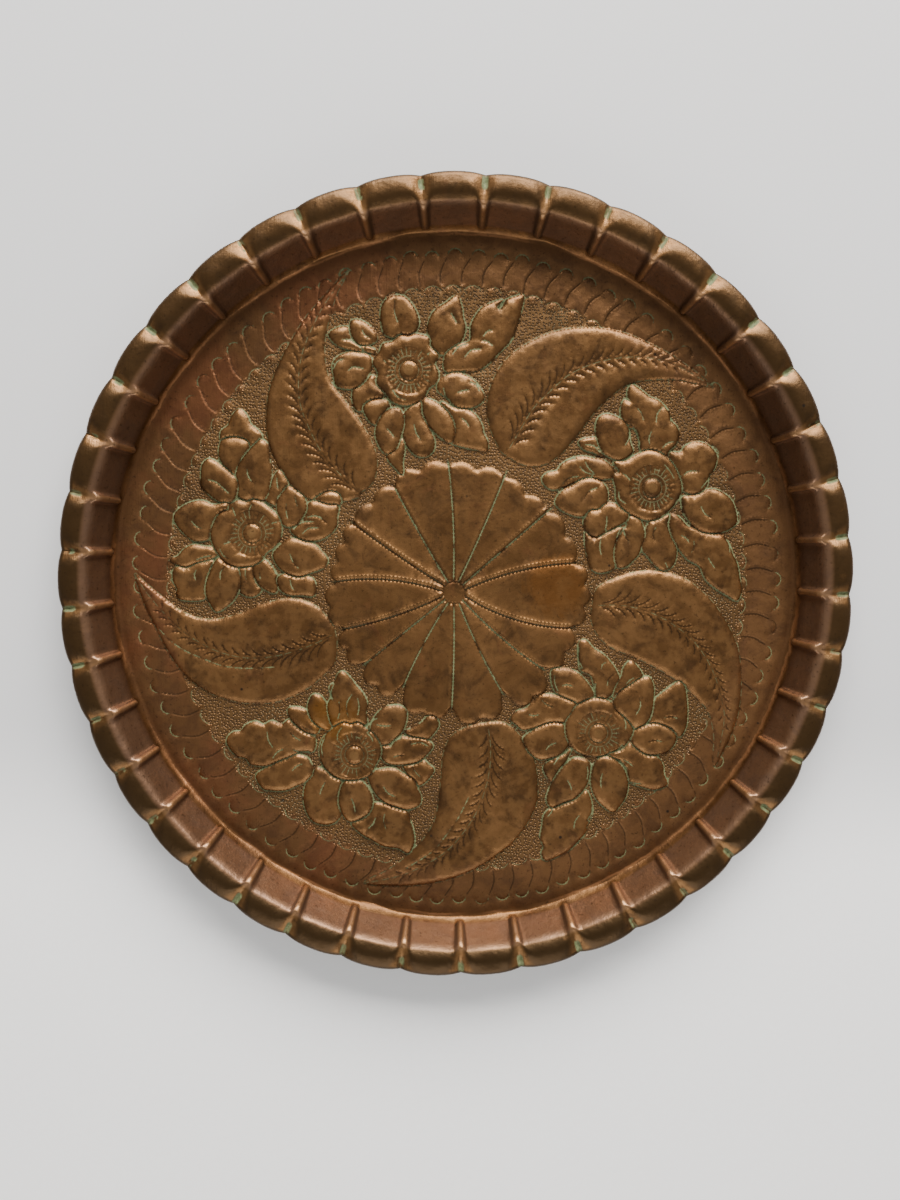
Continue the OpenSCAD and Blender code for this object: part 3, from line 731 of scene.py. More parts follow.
def leaf(left, right, midrib, second=None):
    """A long curled leaf with a stitched edge and a herringbone of veins."""
    outline = smooth_line(left + right[::-1], closed=True)
    yield Shape(outline, 0.85, 3.2, Stroke(outline, 0.8, 0.45, 0.5, dash=4.6, closed=True))
    line = smooth_line(midrib)
    yield from veins(line, 1, 3.7, math.radians(30), 9.5, dict(width=0.75, depth=0.5, green=0.03))
    yield from veins(line, -1, 4.4, math.radians(38), 7.0, dict(width=0.85, depth=0.6, green=0.1))
    yield Stroke(line, width=0.85, depth=0.42, green=0.5, dash=4.4)
    if second:
        yield Stroke(smooth_line(second), width=0.9, depth=0.4, green=0.7, dash=4.4)


def flower(middle, forms, heart, cuts):
    """Cushioned petals and leaves, then the heart with a boss in a ring of fine rays."""
    for points in forms + [heart]:
        outline = widened(smooth_line(points, closed=True), 0.45)
        yield Shape(outline, 1.05, 2.6, Stroke(outline, 0.8, 0.5, 0.75, closed=True))
    for points in cuts:
        yield Stroke(smooth_line(points), width=0.9, depth=0.5, green=0.7)
    yield Shape(disc(middle, 9.4), 0.1, 2.5, ground=0.6)
    for k in range(26):
        reaches = (4.9, 7, 9.3 + 0.9 * math.sin(k * 1.9))
        ray = [np.array(middle) + ring_point(reach, k * math.tau / 26) for reach in reaches]
        yield Stroke(smooth_line(ray), width=0.6, depth=0.4, green=0.55)
    boss = disc(middle, 4.0)
    yield Shape(boss, 0.9, 3.0, Stroke(boss, 0.8, 0.4, 0.45, closed=True), ground=0.3)


def pattern():
    """Every mark on the floor, in the order in which one covers another."""
    yield Shape(arc((0, 0), BORDER_OUT, 0, 358, 180), 0.0, 1.0)
    yield Shape(matted_outline(BORDER_IN - 0.6, 3.0), -0.3, 1.6, matted=1.0)
    yield from border()
    yield from rosette()
    for curves in LEAVES:
        yield from leaf(**curves)
    for parts in FLOWERS:
        yield from flower(**parts)


def on_floor(mark):
    """A mark where it lies on the floor: the pattern sits a little off the middle."""
    stroke = mark
    if isinstance(mark, Shape):
        mark.outline = mark.outline * PATTERN_SIZE + PATTERN_AT
        stroke = mark.groove
    if stroke:
        stroke.line = stroke.line * PATTERN_SIZE + PATTERN_AT
    return mark


# ---------------------------------------------------------------- where the floor gets its points


class Sowing:
    """Points sown along the marks, closer where the metal bends more."""

    CELL = 0.15
    SPARE = 10

    def __init__(self, reach, marks):
        self.reach = reach
        self.ranks = [np.zeros((0, 2))] * 4
        self.fresh = [[] for _ in self.ranks]
        for mark in marks:
            if isinstance(mark, Shape):
                self.sow_shape(mark)
            else:
                self.sow_line(mark.line, mark.closed, (0.5, 1.05) if mark.width > 0.7 else (0.5,))

    def settle(self, rank):
        """Puts the points that are new in a rank behind those that it has."""
        self.ranks[rank] = np.vstack([self.ranks[rank], *self.fresh[rank]])
        self.fresh[rank] = []
        return self.ranks[rank]

    def sow_shape(self, shape):
        """Drops the points that the shape covers, and sows its edge and its shoulder."""
        for rank in range(len(self.ranks)):
            points = self.settle(rank)
            k = in_box(points, shape.outline, 0)
            hidden = k[inside(points[k], shape.outline)]
            self.ranks[rank] = np.delete(points, hidden, axis=0)
        self.sow_line(shape.outline, True)
        if shape.rounding > 1.5:
            side = normals(shape.outline, True)
            inner = shape.outline[::3] + side[::3] * shape.rounding * 0.7
            self.fresh[3].append(inner[inside(inner, shape.outline)])

    def sow_line(self, line, closed, sides=(0.5, 1.05)):
        """A close row on the line, and looser rows beside it."""
        self.fresh[0].append(line)
        side = normals(line, closed)
        for rank, gap in enumerate(sides):
            for s in (1, -1):
                self.fresh[rank + 1].append((line + side * s * gap)[rank::2])

    def cells(self, points):
        cell = ((points + self.reach) / self.CELL).astype(int) + self.SPARE
        return cell[:, 0], cell[:, 1]

    def harvest(self, spacing):
        """All points, thinned so that none are too close, with an even field between them."""
        ranks = [self.settle(rank) for rank in range(4)] + [field_points(self.reach, spacing)]
        size = int(2 * self.reach / self.CELL) + 2 * self.SPARE
        held = np.zeros((size, size), bool)
        out = []
        for points, room in zip(ranks, (0.4, 0.36, 0.5, 0.9, 0.62 * spacing)):
            points = points[np.hypot(points[:, 0], points[:, 1]) < self.reach - 0.6]
            coarse = np.round(points / max(0.4, 0.8 * room)).astype(int)
            _, first = np.unique(coarse[:, 0] * 100000 + coarse[:, 1], return_index=True)
            points = points[np.sort(first)]
            if out:
                points = points[~grown(held, room / self.CELL)[self.cells(points)]]
            held[self.cells(points)] = True
            out.append(points)
        return np.vstack(out)


def grown(held, reach):
    """A map of taken cells, grown by a number of cells in every direction."""
    out = held.copy()
    steps = range(-int(reach), int(reach) + 1)
    for dx in steps:
        for dy in steps:
            if 0 < dx * dx + dy * dy <= reach * reach:
                out |= np.roll(np.roll(held, dx, 0), dy, 1)
    return out


def field_points(reach, spacing):
    """An even field of points inside a circle, in rows that are offset from each other."""
    run = []
    for k, y in enumerate(np.arange(-reach, reach, spacing * math.sqrt(3) / 2)):
        x = np.arange(-reach, reach, spacing) + (k % 2) * spacing / 2
        run.append(np.stack([x, np.full(len(x), y)], axis=1))
    points = np.vstack(run)
    return points[np.hypot(points[:, 0], points[:, 1]) < reach - 1.0]


# ---------------------------------------------------------------- the wall and the lip
# A column of points has u, its share of the way from one rib to the next, and its angle.


def flute_angle(k):
    even = FIRST_NOTCH + k * PITCH
    return even - DRIFT * np.sin(2 * (even - DRIFT_FROM))


def rib_gap(u):
    """The distance to the nearest rib along the ridge, in millimetres."""
    return np.minimum(u, 1 - u) * PITCH * RIDGE_R


def columns():
    """Where the rim is cut into columns: u, the flute's number and the angle."""
    shares = [gap / (PITCH * RIDGE_R) for gap in COLUMN_GAPS]
    one = sorted(shares + [0.5] + [1 - s for s in shares[1:]])
    u = np.tile(one, FLUTES)
    k = np.repeat(np.arange(FLUTES), len(one))
    return u, k, flute_angle(k + u)


def lobe(u):
    """0 at a notch, 1 at the middle of a lobe."""
    return 1 - (1 - 2 * np.minimum(u, 1 - u)) ** 2.6


def rib(u, half):
    """The section of a rib: 1 on its crest, 0 at half its width."""
    gap = rib_gap(u)
    return np.where(gap < half, 0.5 + 0.5 * np.cos(math.pi * np.clip(gap / half, 0, 1)), 0) ** 0.42


def smooth(value):
    t = np.clip(value, 0, 1)
    return t * t * (3 - 2 * t)


def wander(angle, seed, size, turns=(2, 3, 5, 8, 13)):
    """An unevenness round the tray, made of a few waves."""
    total = np.zeros_like(angle)
    for turn in turns:
        total += np.sin(turn * angle + seed * turn * 1.7) / turn**0.5
    return total * size / 2


def wall_row(u, angle, height, half, stand):
    """The inner face of the wall at a height above the floor, with flat panels between ribs."""
    share = min(height / WALL_H, 1)
    panel = RIDGE_R * (1 - math.cos(PITCH / 2) / np.cos((u - 0.5) * PITCH))
    r = FOOT_R + WALL_SLOPE * height - panel * share**0.5 - RIB_H * stand * rib(u, half)
    return r + wander(angle, 1.0, 0.25) * (1 - 0.6 * share), np.full_like(u, FLOOR_Z + height)


def ridge_row(u, angle):
    """The line between the wall and the lip, lifted where a rib runs over it."""
    r, z = wall_row(u, angle, WALL_H, 2.4, 0.8)
    return r, z + RIB_RISE * rib(u, 2.2) + wander(angle, 4.0, 0.4, (3, 8, 19, 33))


def roll_centre(u):
    dip = 1 - lobe(u)
    return EDGE_R - NOTCH_IN * dip - CURL_OUT, TOP_Z - CREST_DROP - CURL_OUT - NOTCH_DIP * dip


def roll_row(u, radius, degrees):
    r, z = roll_centre(u)
    a = math.radians(degrees)
    return r + radius * math.cos(a), z + radius * math.sin(a)


def lip_row(u, angle, share):
    """The lip between the ridge and the roll: a pillow on each lobe, a valley at each notch."""
    ridge_r, ridge_z = ridge_row(u, angle)
    roll_r, roll_z = roll_row(u, CURL_OUT, LIP_MEETS_ROLL)
    line = ridge_z + (roll_z - ridge_z) * share
    rise = 1 - np.clip(1 - share / 0.55, 0, 1) ** 2
    fall = np.clip((share - 0.5) / 0.5, 0, 1) ** 2
    top = TOP_Z - 0.35 - 0.5 * np.abs(wander(angle, 3.0, 1.5, (17, 29, 43, 61)))
    pillow = ridge_z + (top - ridge_z) * rise - (top - roll_z) * fall
    clear = smooth(np.minimum(u, 1 - u) / (0.1 + 0.26 * share))
    clear = clear * (1 - smooth((share - 0.8) / 0.2) * (1 - lobe(u)))
    return ridge_r + (roll_r - ridge_r) * share, line + (pillow - line) * clear


def upper_rows(u, angle):
    """Rows of the sheet's upper side, from the floor to the tip of the curl."""
    shift = wander(angle, 1.0, 0.25) + wander(angle, 2.0, 2.2, (19, 31, 47)) - 0.5
    rows = []
    for share in BEND_SHARES:
        a = WALL_ANGLE * share
        z = np.full_like(u, FLOOR_Z + BEND_R * (1 - math.cos(a)))
        rows.append((BEND_FROM + BEND_R * math.sin(a) + shift, z))
    rows += [wall_row(u, angle, *row) for row in WALL_ROWS]
    rows.append(ridge_row(u, angle))
    rows += [lip_row(u, angle, share) for share in LIP_SHARES]
    return rows + [roll_row(u, CURL_OUT, degrees) for degrees in ROLL_DEGREES]


def under_rows(u, angle):
    """Rows of the underside, from inside the curl back to the floor."""
    rows = [roll_row(u, CURL_IN, degrees) for degrees in INNER_ROLL_DEGREES]
    for share in UNDER_LIP_SHARES:
        r, z = lip_row(u, angle, share)
        rows.append((r + 0.95 * SHEET_T * (1 - share), z - (0.55 + 0.75 * share) * SHEET_T))
    for row in UNDER_WALL_ROWS:
        r, z = wall_row(u, angle, *row)
        rows.append((r + 0.92 * SHEET_T, z - 0.39 * SHEET_T))
    a = WALL_ANGLE * 0.5
    full = BEND_R + SHEET_T
    r = np.full_like(u, BEND_FROM + full * math.sin(a))
    return rows + [(r, np.full_like(u, full * (1 - math.cos(a))))]


def dent_notches(rows, u, k):
    """A short radial dent in every notch, near the edge. Returns how green each row is."""
    green = [np.zeros_like(u) for _ in rows]
    gap = rib_gap(u)
    for row, (depth, tone) in enumerate(DENT_ALONG, DENT_ROW):
        r, z = rows[row]
        rows[row] = (r, z - depth * np.interp(gap, DENT_GAPS, DENT_DEPTHS))
        green[row] = tone * np.interp(gap, DENT_GAPS, DENT_GREENS) * (0.8 + 0.2 * np.sin(k * 5.1))
    return green


def polish_and_highlight(u, row):
    """Where a rib is lighter: rubbed bright and painted highlight along the wall, and a wedge of painted
    sheen across the lip at each notch.
    """
    if not 2 < row < RIDGE_ROW + 8:
        return np.zeros_like(u)
    return rib(u, 2.2 if row < RIDGE_ROW else 2.0 + 0.5 * (row - RIDGE_ROW))


# ---------------------------------------------------------------- the sheet


class Skin:
    """The vertices and triangles of a piece, with painted values at each vertex."""

    def __init__(self, *painted):
        self.verts = []
        self.faces = []
        self.painted = {name: [] for name in painted}
        self.count = 0

    def add(self, verts, **values):
        """Adds vertices. Returns their numbers."""
        self.verts.append(verts)
        for name, layer in self.painted.items():
            layer.append(values.get(name, np.zeros(len(verts))))
        self.count += len(verts)
        return np.arange(self.count - len(verts), self.count)

    def join(self, first, second):
        """Triangles between two rows of vertex numbers that run round the tray."""
        a, b = first, np.roll(first, -1)
        c, d = np.roll(second, -1), second
        self.faces.append(np.vstack([np.stack([a, d, c], axis=1), np.stack([a, c, b], axis=1)]))

    def piece(self, name):
        mesh = bpy.data.meshes.new(name)
        mesh.from_pydata(np.vstack(self.verts).tolist(), [], np.vstack(self.faces).tolist())
        mesh.validate()
        mesh.polygons.foreach_set("use_smooth", np.ones(len(mesh.polygons), bool))
        mesh.update()
        for layer, values in self.painted.items():
            painted = mesh.attributes.new(layer, "FLOAT", "POINT")
            painted.data.foreach_set("value", np.concatenate(values).astype(np.float32))
        piece = bpy.data.objects.new(name, mesh)
        bpy.context.scene.collection.objects.link(piece)
        return piece


def floor_mesh(seeds, ring):
    """Triangles of a disc through the seeds, inside a ring of points. The ring comes first."""
    points = np.vstack([ring, seeds])
    edges = [(i, (i + 1) % len(ring)) for i in range(len(ring))]
    found = delaunay_2d_cdt([Vector(p) for p in points.tolist()], edges, [], 1, 1e-6, True)
    out, _, faces, origin = found[:4]
    order = np.full(len(points), -1)
    for new, old in enumerate(origin):
        for k in old:
            order[k] = new
    return np.array([tuple(p) for p in out]), np.array(faces), order[: len(ring)]


def hammered(points, size):
    """The low, even unevenness that planishing leaves."""
    fine = [noise.noise(Vector((x / 9.0, y / 9.0, 3.0))) for x, y in points]
    slow = [noise.noise(Vector((x / 38.0, y / 38.0, 7.0))) for x, y in points]
    return (np.array(fine) * 0.45 + np.array(slow)) * size


def inset(r, width):
    """1 on the floor, falling to 0 over its outermost few millimetres."""
    return np.clip((FLAT_R - r) / width, 0, 1)


def chased_floor(skin, marks, ring):
    """The upper side of the floor. Returns the numbers of the vertices on its edge."""
    points, faces, edge = floor_mesh(Sowing(FLAT_R, marks).harvest(FLOOR_STEP), ring)
    relief = Relief(points, marks)
    r = np.hypot(points[:, 0], points[:, 1])
    high = relief.high - relief.cut
    z = np.maximum(FLOOR_Z + (high + hammered(points, 0.22)) * inset(r, 4), THINNEST)
    skin.add(
        place(points[:, 0], points[:, 1], z),
        verdigris=relief.green,
        matting=relief.ground * (r < BORDER_OUT),
        relief=high,
        groove=relief.dark,
    )
    skin.faces.append(faces)
    return edge


def under_floor(skin, marks, ring, last):
    """The underside of the floor, where the chasing shows through softly."""
    points, faces, edge = floor_mesh(field_points(FLAT_R, UNDER_STEP), ring)
    relief = Relief(points, marks, soft=1.6)
    r = np.hypot(points[:, 0], points[:, 1])
    z = UNDER_Z + 0.45 * relief.high - 0.5 * relief.cut + hammered(points, 0.12)
    z = np.clip(z * inset(r, 3), 0, None)
    numbers = skin.add(place(points[:, 0], points[:, 1], z))
    skin.join(last, numbers[edge])
    skin.faces.append(numbers[faces[:, ::-1]])


def tray_sheet():
    """The whole sheet as one closed skin: floor, wall, lip and curl, then the underside."""
    marks = [on_floor(mark) for mark in pattern()]
    u, k, angle = columns()
    ring = np.stack([FLAT_R * np.cos(angle), FLAT_R * np.sin(angle)], axis=1)
    skin = Skin("verdigris", "matting", "relief", "groove")
    last = chased_floor(skin, marks, ring)
    rows = upper_rows(u, angle)
    green = dent_notches(rows, u, k)
    rows += under_rows(u, angle)
    green += [np.zeros_like(u)] * (len(rows) - len(green))
    for row, ((r, z), salts) in enumerate(zip(rows, green)):
        verts = place(r * np.cos(angle), r * np.sin(angle), z)
        # On the rim the relief values are rubbed ribs with painted highlight, and painted sheen in the notch
        # wedges of the lip.
        numbers = skin.add(verts, verdigris=salts, relief=polish_and_highlight(u, row))
        skin.join(last, numbers)
        last = numbers
    under_floor(skin, marks, ring, last)
    return skin.piece("copper_tray_sheet")


# ---------------------------------------------------------------- the wire


def rim_wire():
    """A drawn iron wire that follows the rolled edge round every lobe."""
    steps = np.linspace(0, FLUTES, FLUTES * 12, endpoint=False)
    angle = flute_angle(steps)
    skin = Skin()
    rings = []
    for degrees in range(0, 360, 30):
        r, z = roll_row(steps % 1, WIRE_R * WIRE_FIT, degrees)
        rings.append(skin.add(place(r * np.cos(angle), r * np.sin(angle), z)))
    for a, b in zip(rings, rings[1:] + rings[:1]):
        skin.join(b, a)
    return skin.piece("rim_wire_drawn")


# ---------------------------------------------------------------- materials


class Value:
    """A socket that takes part in sums."""

    def __init__(self, made, socket):
        self.made = made
        self.socket = socket

    def sum(self, operation, first, second):
        return self.made.node("ShaderNodeMath", {"operation": operation}, [first, second])

    def __add__(self, other):
        return self.sum("ADD", self, other)

    def __sub__(self, other):
        return self.sum("SUBTRACT", self, other)

    def __rsub__(self, other):
        return self.sum("SUBTRACT", other, self)

    def __mul__(self, other):
        return self.sum("MULTIPLY", self, other)

    __radd__ = __add__
    __rmul__ = __mul__

    def clamp(self):
        return self.made.node("ShaderNodeClamp", {}, [self, 0.0, 1.0])

    def ramp(self, low, high):
        """0 below low, 1 above high, smooth between."""
        settings = {"interpolation_type": "SMOOTHSTEP"}
        return self.made.node("ShaderNodeMapRange", settings, [self, low, high, 0.0, 1.0])

    def fall(self, low, high):
        """1 below low, 0 above high, smooth between."""
        return 1.0 - self.ramp(low, high)


class Finish:
    """One material and the nodes that it is made of."""

    def __init__(self, name):
        self.material = bpy.data.materials.new(name)
        self.material.use_nodes = True
        self.tree = self.material.node_tree
        where = self.node("ShaderNodeTexCoord", {}, {}, "Object")
        self.where = self.vector("SCALE", {0: where, "Scale": 1 / MM})

    def node(self, kind, settings, inputs, output=0):
        made = self.tree.nodes.new(kind)
        for name, value in settings.items():
            setattr(made, name, value)
        pairs = inputs.items() if isinstance(inputs, dict) else enumerate(inputs)
        for key, value in pairs:
            self.feed(made.inputs[key], value)
        return Value(self, made.outputs[output])

    def feed(self, socket, value):
        if isinstance(value, Value):
            self.tree.links.new(value.socket, socket)
        else:
            socket.default_value = value

    def vector(self, operation, inputs, output=0):
        return self.node("ShaderNodeVectorMath", {"operation": operation}, inputs, output)

    def part(self, axis):
        return self.node("ShaderNodeSeparateXYZ", {}, [self.where], axis)

    def painted(self, name):
        return self.node("ShaderNodeAttribute", {"attribute_name": name}, {}, "Fac")

    def grain(self, size, detail=3.0, rough=0.55, distortion=0.0, shift=None, where=None):
        """Noise of a size in millimetres, taken elsewhere if there is a shift."""
        where = where or self.where
        where = self.vector("ADD", [where, shift]) if shift else where
        values = {"Vector": where, "Scale": 1.0 / size, "Detail": detail, "Roughness": rough}
        return self.node("ShaderNodeTexNoise", {}, values | {"Distortion": distortion})

    def cells(self, size, settings, shift=None, **more):
        """The distance to the nearest of many scattered points."""
        where = self.vector("ADD", [self.where, shift]) if shift else self.where
        values = {"Vector": where, "Scale": 1.0 / size, **more}
        return self.node("ShaderNodeTexVoronoi", settings, values, "Distance")

    def patch(self, centre, size, ragged):
        """A stain round a place, with an edge broken up by noise."""
        gap = self.vector("DISTANCE", [self.where, centre], "Value")
        return (gap + (ragged - 0.5) * size * 1.2).fall(size * 0.45, size)

    def mix(self, share, first, second):
        made = self.tree.nodes.new("ShaderNodeMix")
        made.data_type = "RGBA"
        for key, value in ((0, share), (6, first), (7, second)):
            self.feed(made.inputs[key], (*value, 1.0) if isinstance(value, tuple) else value)
        return Value(self, made.outputs[2])

    def bump(self, height, distance, strength, normal=None):
        values = {"Height": height, "Distance": distance, "Strength": strength}
        return self.node("ShaderNodeBump", {}, values | ({"Normal": normal} if normal else {}))

    def surface(self, **values):
        shader = self.tree.nodes["Principled BSDF"]
        for name, value in values.items():
            self.feed(shader.inputs[name.replace("_", " ")], value)
        return self.material


# Copper, from the darkest to the brightest, and what lies on it
SOOT = (0.02, 0.014, 0.01)
GROOVE = (0.028, 0.015, 0.006)
DARK = (0.03, 0.015, 0.006)
STAINED = (0.045, 0.021, 0.007)
OLIVE = (0.048, 0.026, 0.009)
PUNCHED = (0.055, 0.031, 0.013)
# Painted shade for the crease at the foot of the wall.
CREASE_SHADE = (0.07, 0.026, 0.008)
BROWN = (0.115, 0.054, 0.017)
MATTED = (0.135, 0.08, 0.033)
ORANGE = (0.15, 0.055, 0.01)
RUSSET = (0.16, 0.05, 0.022)
WARM = (0.185, 0.09, 0.031)
GREYED = (0.19, 0.112, 0.074)
AMBER = (0.2, 0.08, 0.01)
TAWNY = (0.21, 0.1, 0.05)
RED = (0.22, 0.08, 0.034)
# Of the next four colours, the first two are wear partly painted as highlight, and the last two are painted
# highlights on the bend and the highest ridges.
WORN_AND_HIGHLIGHT = (0.27, 0.138, 0.05)
RUBBED_AND_HIGHLIGHT = (0.33, 0.18, 0.085)
BEND_HIGHLIGHT = (0.38, 0.17, 0.07)
GOLDEN_HIGHLIGHT = (0.5, 0.29, 0.11)
DUSTY_GREEN = (0.14, 0.17, 0.085)
DEEP_GREEN = (0.085, 0.115, 0.045)
PALE_GREEN = (0.165, 0.195, 0.088)


class AgedCopper(Finish):
    """Brown copper: cloudy patina, tarnished lip with painted shade, dark grooves, rubbed edges with painted
    highlights, painted shade in the crease, green salts.
    """

    def __init__(self):
        super().__init__("aged_copper")
        self.x, self.y, self.z = (self.part(axis) for axis in "XYZ")
        flat = self.node("ShaderNodeCombineXYZ", {}, [self.x, self.y, 0.0])
        self.radius = self.vector("LENGTH", [flat], "Value")
        self.clouds = self.grain(46.0, 4.0, 0.6)
        self.mottle = self.grain(9.0, 5.0, 0.62, 0.6, shift=(40.0, 0.0, 11.0))
        self.speckle = self.grain(1.5, 3.0, 0.6)
        self.streaks = self.grain(20.0, 6.0, 0.7, 1.2, shift=(0.0, 90.0, 5.0))
        self.stains = self.grain(17.0, 7.0, 0.68, 1.6, shift=(70.0, 20.0, 0.0))
        self.relief = self.painted("relief")
        self.matting = self.painted("matting")
        dots = self.cells(1.25, {"voronoi_dimensions": "2D", "feature": "F1"}, Randomness=0.8)
        self.punched = self.matting * dots.fall(0.14, 0.42)
        self.lip = self.radius.ramp(145.5, 147.5)
        self.wall = self.z.ramp(3.0, 5.0) * (1.0 - self.lip)
        salt = self.painted("verdigris") * self.grain(7.0).ramp(0.3, 0.48)
        self.salt = salt.ramp(0.18, 0.75) * 0.9

    def patina(self):
        """Brown clouds, dark mottling and reddish streaks."""
        base = self.mix(self.clouds.ramp(0.35, 0.68), BROWN, WARM)
        base = self.mix(self.mottle.ramp(0.46, 0.68) * 0.55, base, DARK)
        base = self.mix(self.stains.ramp(0.5, 0.66) * 0.45, base, STAINED)
        return self.mix(self.streaks.ramp(0.55, 0.8) * 0.35, base, RED)

    def by_place(self, base):
        """What differs from the floor's middle to the lip: tarnish with painted shade, redness, painted
        shade in the crease, a painted highlight along the bend.
        """
        # Olive tarnish on the lip, with painted shade: more of it towards the front (-Y), where the lip
        # turns away from the light, and less in the notch wedges, which stay light as painted sheen.
        tarnish_and_shade = self.mottle.ramp(0.12, 0.38) * (0.86 - self.y * 0.0009).clamp()
        base = self.mix(self.lip * (tarnish_and_shade * (1.0 - self.relief.ramp(0.1, 0.9) * 0.7)), base, OLIVE)
        base = self.mix(self.wall * 0.55, base, GREYED)
        patchy = self.clouds.ramp(0.4, 0.6)
        band = self.radius.ramp(114.0, 122.0) * self.radius.fall(137.0, 140.0)
        base = self.mix(band * 0.25, base, TAWNY)
        base = self.mix(band * patchy * self.x.fall(-60.0, 10.0) * 0.5, base, RUSSET)
        wavy = self.radius + (self.streaks - 0.5) * 2.6
        # Painted shade: a wavy darker ring where the floor runs into the crease at the foot of the wall.
        crease_shade = wavy.ramp(133.5, 137.5) * self.radius.fall(139.6, 141.0)
        base = self.mix(crease_shade * 0.45, base, CREASE_SHADE)
        # Painted highlight: a thin bright line along the bend at the foot of the wall, broken up by the
        # clouds.
        bend = wavy.ramp(138.2, 138.7) * wavy.fall(138.9, 139.6) * patchy
        base = self.mix(bend * 0.5, base, BEND_HIGHLIGHT)
        base = self.mix(self.patch((40.0, -1.0, 1.0), 17.0, self.stains) * 0.6, base, ORANGE)
        return self.mix(self.patch((-52.0, -56.0, 1.0), 13.0, self.mottle) * 0.55, base, AMBER)

    def by_tool(self, base):
        """What follows the relief: rubbed ribs and petals with painted highlights, dark grooves, punched
        ground.
        """
        # Ribs on the wall lighter: partly rubbed copper, partly painted highlight.
        base = self.mix(self.wall * self.relief.ramp(0.5, 0.95) * 0.5, base, RUBBED_AND_HIGHLIGHT)
        # Raised forms lighter: partly wear, partly painted highlight on lit ridges and in the notch wedges
        # of the lip.
        wear_and_highlight = self.relief.ramp(0.5, 0.95) * self.grain(5.0).ramp(0.4, 0.62)
        base = self.mix(wear_and_highlight * 0.4, base, WORN_AND_HIGHLIGHT)
        # Painted highlight: golden colour on the highest ridges of the rosette and on the flower bosses.
        base = self.mix(self.relief.ramp(1.08, 1.32) * 0.6, base, GOLDEN_HIGHLIGHT)
        base = self.mix(self.painted("groove").ramp(0.1, 0.5) * 0.7, base, GROOVE)
        base = self.mix(self.matting * 0.5, base, MATTED)
        return self.mix(self.punched * 0.75, base, PUNCHED)

    def specks(self, base):
        """Black spots, dark speckle and the green salts."""
        spots = self.cells(19.0, {"feature": "F1"}, (3.0, 8.0, 0.0), Randomness=1.0)
        base = self.mix(spots.fall(0.02, 0.05) * 0.9, base, SOOT)
        base = self.mix(self.speckle.fall(0.28, 0.4) * 0.5, base, DARK)
        dust = self.punched * self.grain(30.0).ramp(0.5, 0.7) * 0.25
        base = self.mix(dust, base, DUSTY_GREEN)
        green = self.mix(self.speckle.ramp(0.35, 0.65), DEEP_GREEN, PALE_GREEN)
        return self.mix(self.salt, base, green)

    def tool_marks(self):
        """Planished dimples, scratches one way, fine grain and the punched dots."""
        oval = {"Vector": self.where, "Rotation": (0, 0, 0.7), "Scale": (1.6, 0.07, 1.0)}
        along = self.node("ShaderNodeMapping", {}, oval)
        dimples = self.cells(6.5, {"feature": "SMOOTH_F1"}, Randomness=1.0, Smoothness=0.35)
        normal = self.bump(dimples, 0.0006, 0.28)
        normal = self.bump(self.grain(1.0, 2.0, where=along), 0.0002, 0.35, normal)
        normal = self.bump(self.grain(2.6, 4.0), 0.0003, 0.55, normal)
        return self.bump(1.0 - self.punched, 0.0006, 0.8, normal)

    def finished(self):
        rough = 0.25 + self.mottle * 0.2 + self.speckle * 0.08
        return self.surface(
            Base_Color=self.specks(self.by_tool(self.by_place(self.patina()))),
            Metallic=0.82 - self.salt * 0.7 - self.punched * 0.3,
            Roughness=(rough + self.salt * 0.45 + self.matting * 0.1).clamp(),
            Normal=self.tool_marks(),
        )


def black_iron():
    made = Finish("black_iron_wire")
    rust = made.grain(6.0, 5.0, 0.65).ramp(0.48, 0.66)
    return made.surface(
        Base_Color=made.mix(rust * 0.8, (0.028, 0.022, 0.018), (0.13, 0.045, 0.018)),
        Metallic=0.75 - rust * 0.6,
        Roughness=0.42 + rust * 0.35,
        Normal=made.bump(made.grain(0.8), 0.0002, 0.5),
    )


def pale_paper():
    """Paper with painted light: lighter towards the front, greyer towards the back."""
    made = Finish("pale_paper")
    # Painted light: the paper is lighter towards the front and greyer towards the back.
    painted_light_sweep = made.part("Y").ramp(-130.0, -50.0)
    paper = made.mix(painted_light_sweep, (0.98, 0.975, 0.96), (0.63, 0.63, 0.63))
    fibre = made.grain(3.0, 4.0) * 0.12
    return made.surface(Base_Color=made.mix(fibre, paper, (0.62, 0.62, 0.61)), Roughness=0.85)


# ---------------------------------------------------------------- the room

FLOOR_SIZE = 6.0
FLOOR_GAP = 0.0002
ROOM_TINT = (0.97, 0.98, 1.0, 1)
ROOM_LIGHT = 0.41

# The camera looks straight down, tilted a little towards the top of the tray
LENS = 27.375
SENSOR = 36.0
SHIFT = (-0.0056, -0.01358)
TILT = math.radians(4.5)
TURN = math.radians(0.6)
DISTANCE = 0.372875


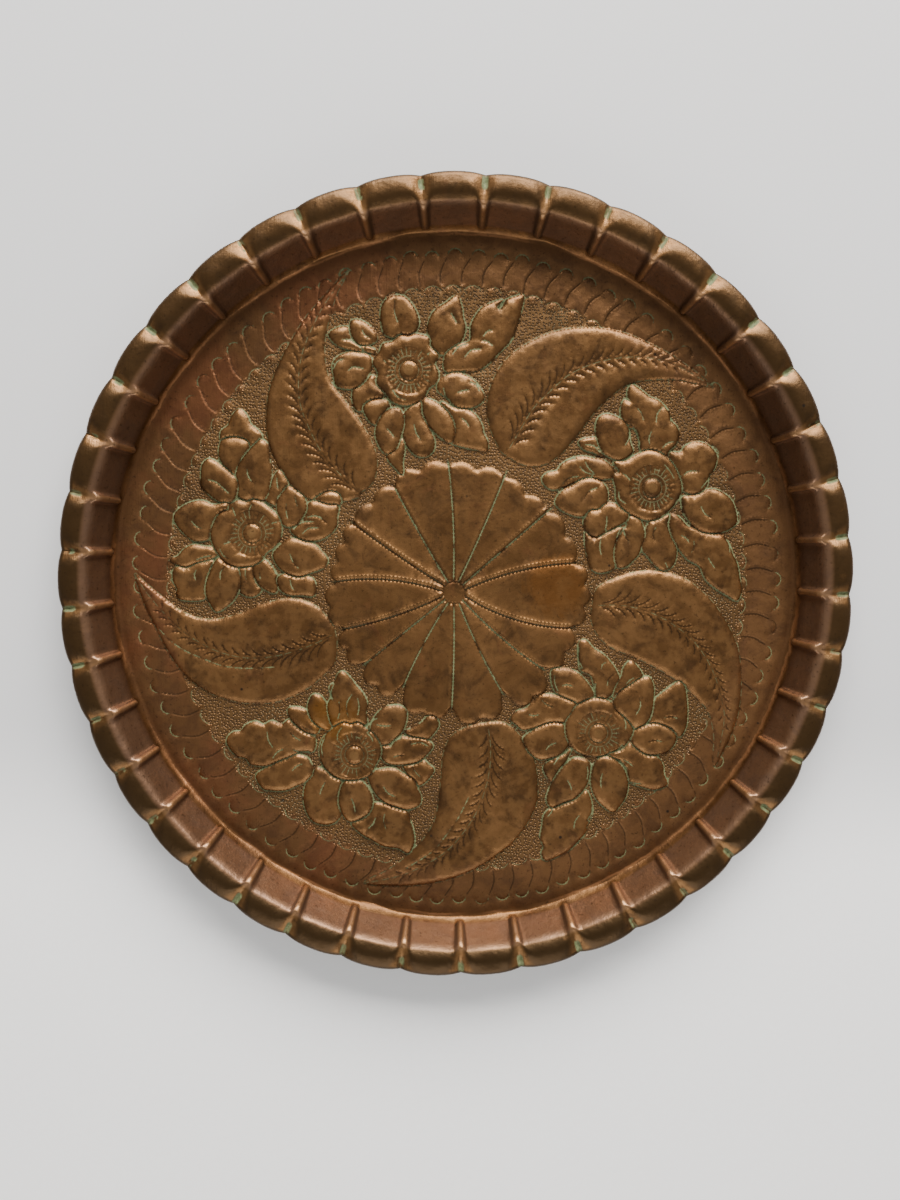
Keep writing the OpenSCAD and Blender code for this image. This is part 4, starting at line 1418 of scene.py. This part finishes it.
def table_top():
    bpy.ops.object.select_all(action="DESELECT")
    low = cad_box[0][2] - FLOOR_GAP
    bpy.ops.mesh.primitive_plane_add(size=FLOOR_SIZE, location=(0, 0, low))
    floor = bpy.context.object
    bpy.ops.object.transform_apply(location=True)
    floor.name = "pale_floor"
    floor.data.materials.append(pale_paper())


def lamp(name, at, size, power, tint):
    """A wide lamp that faces the tray."""
    data = bpy.data.lights.new(name, "AREA")
    data.shape = "RECTANGLE"
    data.size, data.size_y = size
    data.energy = power
    data.color = tint
    light = bpy.data.objects.new(name, data)
    light.location = at
    light.rotation_euler = (-Vector(at)).to_track_quat("-Z", "Y").to_euler()
    bpy.context.scene.collection.objects.link(light)


def room():
    world = bpy.data.worlds.new("soft_room")
    world.use_nodes = True
    sky = world.node_tree.nodes["Background"].inputs
    sky["Color"].default_value = ROOM_TINT
    sky["Strength"].default_value = ROOM_LIGHT
    bpy.context.scene.world = world
    lamp("window", (0.25, 1.5, 0.85), (1.7, 0.9), 112, (1.0, 0.97, 0.94))
    lamp("near_fill", (-0.05, -1.3, 0.75), (1.4, 0.8), 12, (1.0, 0.98, 0.95))


def camera():
    data = bpy.data.cameras.new("camera")
    data.lens = LENS
    data.sensor_width = SENSOR
    data.shift_x, data.shift_y = SHIFT
    data.clip_start = 0.01
    across, sunk = math.cos(TURN), math.sin(TURN)
    right = Vector((across, math.sin(TILT) * sunk, math.cos(TILT) * sunk))
    up = Vector((0, math.cos(TILT), -math.sin(TILT)))
    back = right.cross(up).normalized()
    stand = Matrix((right, up, back)).transposed().to_4x4()
    stand.translation = back * DISTANCE
    seen = bpy.data.objects.new("camera", data)
    seen.matrix_world = stand
    bpy.context.scene.collection.objects.link(seen)
    bpy.context.scene.camera = seen


# ---------------------------------------------------------------- putting it together

camera()
room()
table_top()

sheet = tray_sheet()
sheet.data.materials.append(AgedCopper().finished())
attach(sheet, "root")
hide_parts("tray_sheet")

wire = rim_wire()
wire.data.materials.append(black_iron())
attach(wire, "root")
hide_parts("rim_wire")
